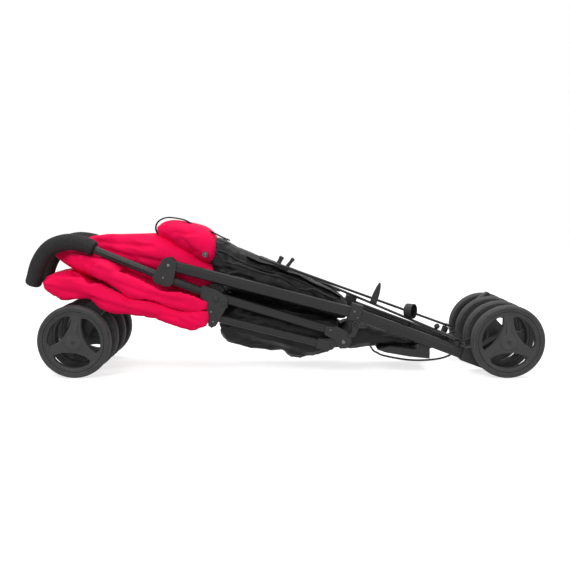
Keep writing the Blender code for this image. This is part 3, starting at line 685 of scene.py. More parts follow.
@dataclass
class TwinWheel:
    """One wheel: a foam tyre, a rim with three windows, and a raised keyhole cap on its outer face."""

    end: str
    side: Side
    place: str
    spoke_deg: float
    steps: int = 240
    spoke_half: float = 0.0098
    window_out: float = 0.0542
    spoke_end: float = 0.0568

    def __post_init__(self) -> None:
        """Finds the wheel's middle, its outward direction and its names."""
        axle = AXLE_REAR if self.end == "rear" else AXLE_FRONT
        offset = TWIN_Y if self.place == "outer" else -TWIN_Y
        self.centre = np.array([axle[0] + SHIFT_X, self.side.value * (FRAME_Y + offset), axle[1]])
        self.out = np.array([0.0, self.side.value * (1 if self.place == "outer" else -1), 0.0])
        self.body = f"{self.end}_{self.side.label}_{self.place}_wheel"
        self.node = f"{self.end}_wheel_{self.side.label}_{self.place}"

    def disc(self, radius: Array, height: Array) -> Array:
        """Points at radius and height, each (rows, steps), around the axle: angle zero is the first spoke."""
        angle = np.radians(self.spoke_deg) + full_turn(self.steps)
        ring = np.stack([np.cos(angle), np.zeros_like(angle), np.sin(angle)], axis=1)
        return self.centre + radius[..., None] * ring + height[..., None] * self.out

    def from_spoke(self) -> Array:
        """Each station's angle from the nearest spoke, in radians, 0 to 60 degrees."""
        third = 2 * math.pi / 3
        return np.abs((full_turn(self.steps) + third / 2) % third - third / 2)

    @staticmethod
    def dome(radius: Array) -> Array:
        """The front face's height at a radius: it falls smoothly from the hub's middle to the spokes."""
        return 0.0080 + 0.0024 * (1 - smoothstep(radius, 0.004, 0.040))

    def spider_edge(self) -> Array:
        """The radius of the hub and spokes' outline: the greater, with a soft fillet, of a bowed triangle
        about the hub and of three straight spokes."""
        near = self.from_spoke()
        window = math.pi / 3 - near
        hub = 0.0222 * (1 + 0.22 * (window / 0.8) ** 2) / np.cos(window * 0.92)
        spoke = np.minimum(self.spoke_half / np.maximum(np.sin(near), 1e-3), self.spoke_end)
        return np.minimum((hub**9 + spoke**9) ** (1 / 9), self.spoke_end)

    def spider(self, shell: Shell) -> None:
        """Adds the hub and spokes: concentric copies of the outline, domed in front, flat behind."""
        edge = self.spider_edge()
        shares = np.array([0.03, 0.12, 0.25, 0.4, 0.55, 0.7, 0.83, 0.93, 0.975, 1.0])
        radius = shares[:, None] * edge
        drop = np.array([0, 0, 0, 0, 0, 0, 0, 0, 0.00035, 0.0013])[:, None]
        groove = 0.0
        if self.place == "outer":
            groove = 0.0009 * np.exp(-(((radius - self.cap_edge() - 0.0007) / 0.0006) ** 2))
        front = self.disc(radius, self.dome(radius) - drop - groove)
        back_radius = np.array([1.0, 0.96, 0.6, 0.3, 0.03])[:, None] * edge
        depth = np.array([-0.0030, -0.0040, -0.0040, -0.0060, -0.0060])[:, None]
        back = self.disc(back_radius, np.broadcast_to(depth, back_radius.shape))
        shell.grid(np.concatenate([front, back]))

    def ring(self, shell: Shell) -> None:
        """Adds the rim's ring: a closed profile whose inner edge thickens where a spoke meets it."""
        near = self.from_spoke()
        web = 0.0042 * (1 - smoothstep(near, math.radians(10), math.radians(21)))
        inner = self.window_out - web
        profile = [(RIM_R, -0.0108), (RIM_R, 0.0098), (0.0617, 0.0107), (0.0606, 0.0110), (0.0594, 0.0106),
                   (0.0585, 0.0094), (0.0566, 0.0090), (0.0556, 0.0084), (None, 0.0066), (None, -0.0030),
                   (0.0562, -0.0050), (0.0575, -0.0104), (0.0590, -0.0108)]
        radius = np.stack([inner if r is None else np.full(self.steps, r) for r, _ in profile])
        height = np.stack([np.full(self.steps, h) for _, h in profile])
        shell.grid(self.disc(radius, height), close_rows=True, caps=False)

    def cap_edge(self) -> Array:
        """The keyhole's radius: a round boss joined to one arm that tapers up the first spoke."""
        off = np.abs((full_turn(self.steps) + math.pi) % (2 * math.pi) - math.pi)
        arm = np.where(off < 1.2, np.minimum(0.0052 / np.maximum(np.sin(off), 1e-3), 0.0430), 0.0)
        return (0.0165**7 + arm**7) ** (1 / 7)

    def build(self, finishes: Finishes) -> None:
        """Makes the wheel's pieces and seats them on the wheel's body."""
        shell = Shell()
        self.spider(shell)
        self.ring(shell)
        rim = dress(shell.piece(f"rim_{self.body}", 32), finishes.rim)
        seat_on(rim, self.body, f"{self.node}_rim")
        if self.place == "outer":
            self.cap(finishes)
        tread = np.linspace(-1, 1, 15)
        crown = WHEEL_R - 0.0042 * np.abs(tread) ** 3.2
        outer = [(r, t * TYRE_HALF) for r, t in zip(crown, tread)]
        wall = [(0.0694, 0.0129), (0.0688, 0.0127), (0.0681, 0.0116), (0.0673, 0.0116), (0.0667, 0.0124),
                (0.0652, 0.0122), (0.0640, 0.0116), (0.0630, 0.0106)]
        inner = [(RIM_R + 0.0001, 0.0090), (RIM_R + 0.0001, -0.0090)]
        back = [(r, -h) for r, h in reversed(wall)]
        profile = np.array(outer + wall + inner + back)
        tyre = Shell()
        tyre.grid(turned(profile, self.centre, self.out, 120), close_rows=True, caps=False)
        piece = dress(tyre.piece(f"tyre_{self.body}", 60), finishes.tyre)
        seat_on(piece, self.body, f"{self.node}_tyre")

    def cap(self, finishes: Finishes) -> None:
        """Makes the raised cap over the hub, with a narrow gap round it."""
        radius = np.array([0.02, 0.3, 0.6, 0.85, 0.95, 1.0, 1.0])[:, None] * self.cap_edge()
        rise = np.array([0.0016, 0.0016, 0.0015, 0.0014, 0.0011, 0.0005, -0.0020])[:, None]
        surface = self.disc(radius, self.dome(radius) + rise)
        seat_on(grid_piece(f"hub_cap_{self.body}", surface, 50, finishes.cap), self.body)


# Tubes and grips


def tube_section(height: float, steps: int = 72) -> Array:
    """A flattened oval tube with a narrow groove along each flank above and below its middle: the
    superellipse less a Gaussian dent at each groove's height."""
    wide, high = superellipse(full_turn(steps), 2.9)
    dent = 0.0010 * np.exp(-(((high - 0.50) / 0.10) ** 2)) + 0.0007 * np.exp(-(((high + 0.42) / 0.09) ** 2))
    return np.stack([high * height / 2, wide * TUBE_WIDE / 2 - dent * np.sign(wide)], axis=1)


@dataclass
class SideFrame:
    """One side's tubes and its foam grip."""

    side: Side

    def line(self, points: list[Point2], ys: list[float] | None = None) -> Array:
        """Design points in space on this side, at the frame's plane unless ys gives each its own distance."""
        return in_space(np.array(points), self.side.value * np.array(ys or [FRAME_Y] * len(points)))

    def tube(self, name: str, path: Array, height: float, body: str, node: str, finishes: Finishes) -> None:
        """A grooved oval tube, its ends drawn in. The side's label is added to its three names.

        Args:
            name: the piece's name.
            path: the centre line.
            height: the section's height.
            body: the body that it rides on.
            node: the CAD node that it stands for.
            finishes: the materials.
        """
        label = self.side.label
        step = unit(path[[0, -1]] - path[[1, -2]]) * 0.0006
        line = np.vstack([path[0] + step[0], path, path[-1] + step[1]])
        scale = np.concatenate([[0.80], np.ones(len(path)), [0.80]])
        surface = carried(line, tube_section(height), scale)
        piece = grid_piece(f"{name}_{label}", surface, 50, finishes.tube)
        seat_on(piece, f"{label}_{body}", f"{node}_{label}")

    def build(self, finishes: Finishes) -> None:
        """Makes the push tube, grip, lower frame tube and both legs."""
        ys = [FRAME_Y, FRAME_Y, BEND_Y, *GRIP_YS[:2]]
        push = self.line([HUB, between(HUB, HANDLE_BEND, 0.5), HANDLE_BEND, *GRIP_POINTS[:2]], ys)
        push_path = np.vstack([np.linspace(push[0], push[1], 8)[:-1], spline(push[1:], 40)])
        self.tube("push_tube", push_path, 0.0166, "frame", "handle_tube", finishes)
        self.grip(finishes)
        seat = self.line([between(HUB, SEAT_TUBE_END, 0.06), SEAT_TUBE_END])
        self.tube("frame_tube", np.linspace(*seat, 12), 0.0186, "frame", "seat_tube", finishes)
        self.tube("rear_tube", self.rear_path(), 0.0236, "rear_leg", "rear_leg", finishes)
        front = self.line([FRONT_LEG_TOP, between(FRONT_LEG_TOP, CASTER_TOP, 0.975)])
        self.tube("front_tube", np.linspace(*front, 16), 0.0161, "front_leg", "front_leg", finishes)

    def rear_path(self) -> Array:
        """The rear leg's centre line: two straights joined by a quadratic curve that starts and ends at the
        reach at which a 0.25 m circle would touch them."""
        bend = self.line([FOLD_PIVOT, LEG_BEND, REAR_LEG_END])
        ways = unit(bend[[0, 2]] - bend[1])
        reach = 0.25 / math.tan(math.acos(float(ways[0] @ ways[1])) / 2)
        into, out = ways * reach
        share = np.linspace(0, 1, 9)[:, None]
        left = 1 - share
        curve = left**2 * (bend[1] + into) + 2 * share * left * bend[1] + share**2 * (bend[1] + out)
        before = np.linspace(bend[0], curve[0], 14)[:-1]
        return np.vstack([before, curve, np.linspace(curve[-1], bend[2], 12)[1:]])

    def grip(self, finishes: Finishes) -> None:
        """The foam grip: a round section along the hook, with a stepped collar and a rounded tip."""
        label = self.side.label
        tip_point = (-0.5312, 0.1905)
        path = spline(self.line([(-0.398, 0.2603), *GRIP_POINTS[:-1], tip_point], [0.0480, *GRIP_YS]), 70)
        tip = unit((path[-1] - path[-2])[None])[0]
        angle = np.linspace(0, math.pi / 2, 7)[1:]
        line = np.vstack([path, path[-1] + np.sin(angle)[:, None] * 0.009 * tip])
        along = np.linspace(0, 1, len(path))
        swell = 0.985 + 0.03 * np.sin(along * math.pi) ** 2
        swell[0] = 0.82
        swell[1:9] *= 0.955
        scale = np.concatenate([swell, 0.985 * (0.55 + 0.45 * np.cos(angle))])
        turn = full_turn(48)
        radius = 0.0175 * (1 + 0.006 * np.cos(3 * turn))
        section = np.stack([radius * np.cos(turn), radius * np.sin(turn)], axis=1)
        surface = carried(line, section, scale)
        piece = grid_piece(f"foam_grip_{label}", surface, 60, finishes.grip)
        seat_on(piece, f"{label}_frame", f"grip_{label}")


# Castings and small rigid pieces


@dataclass
class Casting:
    """A copy of a CAD node, its flat faces merged, with rounded edges and its own finish."""

    node: str
    radius: float = 0.0009

    def copy(self, material: Material, slot: str) -> Piece:
        """Merges the copy's loose triangles, dissolves its flat areas and rounds its sharp edges."""
        mesh = frame["nodes"][self.node].data.copy()
        made = bmesh.new()
        made.from_mesh(mesh)
        bmesh.ops.remove_doubles(made, verts=made.verts, dist=2e-6)
        bmesh.ops.dissolve_limit(made, angle_limit=math.radians(1.0), verts=made.verts, edges=made.edges)
        made.to_mesh(mesh)
        made.free()
        obj = bpy.data.objects.new(f"{self.node}_finished", mesh)
        bpy.context.scene.collection.objects.link(obj)
        bevel = obj.modifiers.new("edges", "BEVEL")
        bevel.width = self.radius
        bevel.segments = 2
        bevel.limit_method = "ANGLE"
        bevel.angle_limit = math.radians(38)
        bevel.use_clamp_overlap = True
        mesh.shade_smooth()
        mesh.set_sharp_from_angle(angle=math.radians(30))
        return dress(obj, material)


def build_castings(finishes: Finishes) -> None:
    """Finishes every bracket, clamp, fork and lever that keeps its CAD shape."""
    slots = {row["node"]: row["material_slot"] for row in frame["record"]["subparts"]}
    rigid = ("fold_bracket", "hub_plate", "knee_fork", "knee_knuckle", "caster_socket", "caster_fork",
             "rear_housing", "leg_clamp", "brace_mount", "canopy_clip", "latch_hook", "brake_pedal",
             "cross_brace")
    for body, members in frame["record"]["behaviour"]["bodies"].items():
        for node in members:
            if node.startswith(rigid):
                material = finishes.tube if slots[node] == "tube_paint" else finishes.bracket
                seat_on(Casting(node).copy(material, slots[node]), body, node)
    board = Casting("footrest").copy(finishes.bracket, "moulded_plastic")
    bake(board)
    span(board, Lay.REAR, 0.040, "footrest")


@dataclass
class Rivets:
    """Domed heads on the outer faces of one body's brackets."""

    name: str
    body: str
    side: Side
    heads: tuple[tuple[float, float, float, float], ...]

    def build(self, material: Material) -> None:
        """Makes each head (x, z, |y|, radius) as a dome: a quarter ellipse turned about Y."""
        shell = Shell()
        turn = np.linspace(0, math.pi / 2, 7)
        for x, z, y, radius in self.heads:
            dome = np.stack([np.sin(turn) * radius, np.cos(turn) * radius * 0.45], axis=1)
            profile = np.vstack([[1e-5, dome[0, 1]], dome[1:], [radius, -0.0008]])
            centre = in_space(np.array([[x, z]]), self.side.value * y)[0]
            shell.grid(turned(profile, centre, np.array([0.0, self.side.value, 0.0]), 28))
        seat_on(dress(shell.piece(self.name, 50), material), self.body)


def build_rivets(finishes: Finishes) -> None:
    """Puts rivets, pivot heads and the hub bolts on both sides."""
    for side in Side:
        label = side.label
        frame_heads = (
            (FOLD_PIVOT[0], FOLD_PIVOT[1], 0.0808, 0.0036), (-0.2505, 0.203, 0.0797, 0.0022),
            (-0.1527, 0.1326, 0.0805, 0.0022), (-0.1490, 0.1120, 0.0805, 0.0018),
            (KNEE[0], KNEE[1], 0.0812, 0.0042), (0.094, 0.0945, 0.0802, 0.0018))
        Rivets(f"frame_rivets_{label}", f"{label}_frame", side, frame_heads).build(finishes.rivet)
        bolts = ((-0.1421, 0.1596, 0.0820, 0.0062), (-0.1270, 0.1480, 0.0820, 0.0040))
        Rivets(f"hub_bolt_heads_{label}", f"{label}_frame", side, bolts).build(finishes.bracket)
        leg_heads = ((0.1440, 0.1330, 0.0796, 0.0022), (0.1500, 0.1205, 0.0796, 0.0015))
        Rivets(f"clamp_rivets_{label}", f"{label}_rear_leg", side, leg_heads).build(finishes.rivet)


# Fabric


@dataclass
class Fold:
    """One family of folds: rounded crests across a direction, wandering by a slower noise."""

    spacing: float
    height: float
    slope_deg: float
    wander: float = 0.6
    seed: int = 1

    def lift(self, points: Array) -> Array:
        """How far each point is pushed out along its normal: crests are one less the rooted absolute sine of
        the distance across the folds over their spacing."""
        turn = math.radians(self.slope_deg)
        across = -points[:, 0] * math.sin(turn) + points[:, 2] * math.cos(turn)
        phase = across / self.spacing + self.wander * ripple(points, (0.16, 0.05, 0.06), self.seed)
        crest = 1 - np.abs(np.sin(math.pi * phase)) ** 0.62
        strength = 0.55 + 0.45 * ripple(points, 0.07, self.seed + 50)
        return self.height * (crest - 0.45) * np.clip(strength, 0.05, 1.2)


@dataclass
class Crease:
    """One drawn line in the cloth: a valley where depth is above zero, a crest where it is below."""

    line: tuple[Point2, ...]
    depth: float
    width: float

    def lift(self, points: Array) -> Array:
        """Minus the depth times a Gaussian of the distance from the line, tapering at its ends."""
        path = spline(np.array(self.line), 40) + [SHIFT_X, 0.0]
        flat = points[:, [0, 2]]
        away = to_line(flat, path)
        ends = np.minimum(np.linalg.norm(flat - path[0], axis=1), np.linalg.norm(flat - path[-1], axis=1))
        return -self.depth * np.exp(-((away / self.width) ** 2)) * smoothstep(ends, 0.0, 0.02)


def outline_edges(outline: list[Point2], stations: int) -> tuple[Array, Array, Array]:
    """The upper and lower edge of an outline at stations along X, which crowd towards its two ends as a
    cosine does."""
    curve = spline(np.array(outline), 400, closed=True)
    low, high = int(np.argmin(curve[:, 0])), int(np.argmax(curve[:, 0]))
    rolled = np.roll(curve, -low, axis=0)
    split = (high - low) % len(curve)
    one, two = rolled[: split + 1], np.vstack([rolled[split:], rolled[:1]])[::-1]
    first, last = curve[low, 0], curve[high, 0]
    x = (first + last) / 2 - np.cos(np.linspace(0, math.pi, stations)) * (last - first) / 2
    heights = [np.interp(x, np.maximum.accumulate(branch[:, 0]), branch[:, 1]) for branch in (one, two)]
    return x, np.maximum(*heights), np.minimum(*heights)


def outline_grid(outline: list[Point2], tall: Array) -> tuple[Array, Array, Array, Array]:
    """Stations along an outline, each with a section's heights between its upper and lower edge.

    Args:
        outline: the side view's closed outline.
        tall: the section's heights, -1 to 1.

    Returns:
        The stations' x, their place from -1 to 1 along the outline, and the grid's x and z in the frame.
    """
    x, top, bottom = outline_edges(outline, 90)
    along = (x - x[0]) / (x[-1] - x[0]) * 2 - 1
    z = (top + bottom)[:, None] / 2 + (top - bottom)[:, None] / 2 * tall
    return x, along, np.broadcast_to(x[:, None] + SHIFT_X, z.shape), z


def side_face(x: Array) -> Array:
    """How far from the middle plane the canopy's side panels have their inner face: they lean outwards from
    the hub castings to the wider caster sockets."""
    return 0.0800 + 0.0067 * np.clip((-0.215 - (np.asarray(x) - SHIFT_X)) / 0.085, 0.0, 1.0)


@dataclass
class Lobe:
    """A form that lies across the pushchair, with its side view outline and its half width along X.

    The surface is a superellipse at each station along X: its height comes from the outline, its half width
    from the widths, and both close at the two ends.
    """

    outline: list[Point2]
    widths: tuple[Point2, ...]
    power: float = 2.9

    def surfaces(self) -> list[Array]:
        """The closed surface as a grid of stations along X by angles round the section."""
        wide, tall = superellipse(full_turn(56), self.power)
        x, along, ahead, z = outline_grid(self.outline, tall)
        at, halves = np.array(self.widths).T
        half = np.interp(x, at, halves) * (1 - 0.22 * np.abs(along) ** 6)
        return [np.stack([ahead, half[:, None] * wide, z], axis=-1)]


@dataclass
class SidePanels:
    """A pair of canopy panels, which hang outside the front legs."""

    outline: list[Point2]
    puff: float = 0.0125

    def surfaces(self) -> list[Array]:
        """One grid a side, of stations along X by angles round a flattened section: the inner face keeps to
        side_face and the outer one swells by the puff, less towards both ends."""
        wide, tall = superellipse(full_turn(48), 2.5)
        x, along, ahead, z = outline_grid(self.outline, tall)
        thick = self.puff * (1 - 0.6 * np.abs(along) ** 4)
        y = side_face(x + SHIFT_X)[:, None] + thick[:, None] * (1 + wide) / 2
        return [np.stack([ahead, side.value * y, z], axis=-1) for side in Side]


@dataclass
class FoldedCloth:
    """A folded or stuffed fabric piece, made of one or more forms that the remesh joins."""

    name: str
    node: str
    lay: Lay
    forms: list[Lobe | SidePanels]
    slot: str = "black_fabric"
    fill: float = 0.4
    cap: float = 0.008
    pressure: float = 3.0
    grow: float = 0.06
    voxel: float = 0.0048
    folds: list[Fold | Crease] = field(default_factory=list)

    @property
    def wraps(self) -> bool:
        """Whether the piece has panels outside the front legs."""
        return any(isinstance(form, SidePanels) for form in self.forms)

    def blank(self) -> Piece:
        """The piece before its simulation, remeshed to even quads."""
        shell = Shell()
        for form in self.forms:
            for surface in form.surfaces():
                shell.grid(surface)
        obj = shell.piece(self.name)
        remesh = obj.modifiers.new("even", "REMESH")
        remesh.mode = "VOXEL"
        remesh.voxel_size = self.voxel
        bake(obj)
        return obj

    def finish(self, obj: Piece, material: Material) -> None:
        """Subdivides the piece, adds its folds, keeps it off its neighbours and hides the CAD node that it
        replaces.
        """
        smooth = obj.modifiers.new("fine", "SUBSURF")
        smooth.levels = smooth.render_levels = 1
        bake(obj)
        points, normals = read_points(obj), read_normals(obj)
        push = sum((fold.lift(points) for fold in self.folds), np.zeros(len(points)))
        points = keep_clear(points + normals * push[:, None], self.wraps)
        write_points(obj, points)
        obj.data.shade_smooth()
        dress(obj, material)
        span(obj, self.lay, 0.045, self.node)


# From the middle plane: where cloth starts to ease, by how much at most, and where side panels start
EASE_FROM = 0.0570
EASE_BY = 0.0040
PANELS_FROM = 0.068
# How far a side panel may reach inside its inner face, and how far cloth stays off a front wheel
PANEL_SLACK = 0.0008
WHEEL_GAP = 0.0022
# The cloth crosses over past the front legs' ends, and above their sockets
PAST_LEGS_X = -0.405
SOCKET_X = -0.335
SOCKET_TOP = 0.197


def keep_clear(points: Array, wraps: bool) -> Array:
    """Moves cloth out of the way of the side frames and of the front wheels.

    A point between the frames eases towards 61 mm from the middle plane and never passes it. On a piece that
    wraps the front legs, a point beyond 68 mm keeps outside the side panels' inner face, save past the legs'
    ends and above their sockets, where the cloth crosses over. A point nearer to the front axle than a
    wheel's radius and a little more moves out along that radius.

    Args:
        points: rows of x, y and z.
        wraps: whether the piece has side panels outside the legs.

    Returns:
        The moved points.
    """
    points = points.copy()
    off, sign = np.abs(points[:, 1]), np.sign(points[:, 1])
    x, z = points[:, 0] - SHIFT_X, points[:, 2]
    crosses = wraps & ((x < PAST_LEGS_X) | ((x < SOCKET_X) & (z > SOCKET_TOP)))
    inside = ~crosses & (off < PANELS_FROM) if wraps else np.full(len(points), True)
    over = off - EASE_FROM
    eased = np.where(over > 0, EASE_FROM + EASE_BY * np.tanh(over / EASE_BY), off)
    off = np.where(inside, eased, off)
    off = np.where(~inside & ~crosses, np.maximum(off, side_face(points[:, 0]) - PANEL_SLACK), off)
    points[:, 1] = sign * off
    if wraps:
        away = points[:, [0, 2]] - [AXLE_FRONT[0] + SHIFT_X, AXLE_FRONT[1]]
        reach = np.linalg.norm(away, axis=1)
        clear = WHEEL_R + WHEEL_GAP
        near = reach < clear
        points[np.ix_(near, [0, 2])] += (away / reach[:, None] * (clear - reach)[:, None])[near]
    return points


def bake(obj: Piece) -> None:
    """Applies every modifier of obj to its mesh."""
    shown = bpy.context.evaluated_depsgraph_get()
    mesh = bpy.data.meshes.new_from_object(obj.evaluated_get(shown))
    obj.modifiers.clear()
    obj.data = mesh


def read_points(obj: Piece) -> Array:
    """The mesh's vertices as rows of x, y and z."""
    flat = np.empty(len(obj.data.vertices) * 3, np.float32)
    obj.data.vertices.foreach_get("co", flat)
    return flat.reshape(-1, 3).astype(float)


def read_normals(obj: Piece) -> Array:
    """The mesh's vertex normals."""
    flat = np.empty(len(obj.data.vertices) * 3, np.float32)
    obj.data.vertex_normals.foreach_get("vector", flat)
    return flat.reshape(-1, 3).astype(float)


def write_points(obj: Piece, points: Array) -> None:
    """Puts new places into the mesh's vertices."""
    obj.data.vertices.foreach_set("co", points.astype(np.float32).ravel())
    obj.data.update()


CLOTH_SETTINGS = {
    "quality": 4, "use_pressure": True, "tension_stiffness": 12, "compression_stiffness": 12,
    "shear_stiffness": 4, "bending_stiffness": 0.15,
}


def simulate(pieces: list[tuple[FoldedCloth, Piece]], frames: int = 20) -> None:
    """Lets the pieces buckle and swell as cloth a little larger than their shapes, then caps the moves.

    Args:
        pieces: each fabric piece's description with its remeshed object.
        frames: how many frames the run lasts.
    """
    before = [read_points(obj) for _, obj in pieces]
    for cloth, obj in pieces:
        run = obj.modifiers.new("cloth", "CLOTH")
        for key, value in CLOTH_SETTINGS.items():
            setattr(run.settings, key, value)
        run.settings.uniform_pressure_force = cloth.pressure
        run.settings.effector_weights.gravity = 0.0
        run.settings.shrink_min = -cloth.grow
        run.collision_settings.use_collision = False
        run.point_cache.frame_start, run.point_cache.frame_end = 1, frames
    scene = bpy.context.scene
    for number in range(1, frames + 1):
        scene.frame_set(number)
    for (cloth, obj), rest in zip(pieces, before):
        bake(obj)
        move = read_points(obj) - rest
        length = np.linalg.norm(move, axis=1, keepdims=True)
        eased = cloth.cap * np.tanh(length / cloth.cap)
        write_points(obj, rest + move * eased / np.maximum(length, 1e-9))
    scene.frame_set(1)


CANOPY_FOLDS = [Fold(0.024, 0.0020, -20, 0.55, 3), Fold(0.041, 0.0012, -46, 0.8, 9)]
SEAT_FOLDS = [Fold(0.030, 0.0036, -28, 0.8, 21), Fold(0.036, 0.0028, 24, 0.9, 27)]
TOP_CREASES = [
    Crease(((-0.410, 0.276), (-0.330, 0.270), (-0.262, 0.266)), 0.0045, 0.005),
    Crease(((-0.390, 0.262), (-0.320, 0.244), (-0.240, 0.232)), 0.0035, 0.006),
]
REAR_CREASES = [
    Crease(((-0.455, 0.240), (-0.400, 0.231), (-0.340, 0.208), (-0.270, 0.182)), 0.0030, 0.006),
    Crease(((-0.372, 0.206), (-0.320, 0.189), (-0.262, 0.168), (-0.195, 0.152)), 0.0026, 0.005),
    Crease(((-0.385, 0.226), (-0.335, 0.204), (-0.280, 0.182)), -0.0016, 0.006),
]
FRONT_CREASES = [
    Crease(((-0.410, 0.212), (-0.400, 0.200), (-0.392, 0.190)), 0.0040, 0.005),
    Crease(((-0.470, 0.180), (-0.420, 0.172), (-0.360, 0.153), (-0.290, 0.134), (-0.210, 0.121)),
           0.0028, 0.006),
    Crease(((-0.330, 0.150), (-0.270, 0.132), (-0.215, 0.112)), -0.0022, 0.007),
    Crease(((-0.232, 0.128), (-0.205, 0.112), (-0.196, 0.100)), 0.0022, 0.0045),
    Crease(((-0.206, 0.133), (-0.186, 0.115), (-0.180, 0.102)), 0.0018, 0.0045),
]
HEAD_CREASES = [
    Crease(((-0.239, 0.300), (-0.205, 0.292), (-0.170, 0.297)), 0.0030, 0.005),
    Crease(((-0.232, 0.286), (-0.2035, 0.270), (-0.190, 0.245)), 0.0034, 0.007),
    Crease(((-0.206, 0.300), (-0.196, 0.272), (-0.200, 0.256)), -0.0024, 0.006),
    Crease(((-0.178, 0.280), (-0.172, 0.262), (-0.176, 0.240)), 0.0020, 0.005),
]
SEAT_CREASES = [
    Crease(((-0.1149, 0.2474), (-0.0575, 0.2282), (-0.024, 0.2089), (-0.0096, 0.186)), 0.0045, 0.007),
    Crease(((-0.1339, 0.233), (-0.1056, 0.2089), (-0.0769, 0.1993), (-0.050, 0.185)), 0.0040, 0.007),
    Crease(((-0.034, 0.2186), (-0.0048, 0.1873), (0.010, 0.165)), -0.0040, 0.010),
    Crease(((0.000, 0.205), (0.040, 0.178), (0.075, 0.150)), 0.0035, 0.006),
    Crease(((-0.125, 0.262), (-0.118, 0.230), (-0.125, 0.200)), 0.0030, 0.005),
]
PAD_CREASES = [
    Crease(((-0.126, 0.090), (-0.080, 0.066), (-0.030, 0.052), (0.020, 0.043)), 0.0036, 0.006),
    Crease(((-0.110, 0.074), (-0.096, 0.058)), 0.0030, 0.004),
    Crease(((-0.060, 0.095), (-0.020, 0.070), (0.030, 0.052), (0.080, 0.050)), -0.0030, 0.007),
]

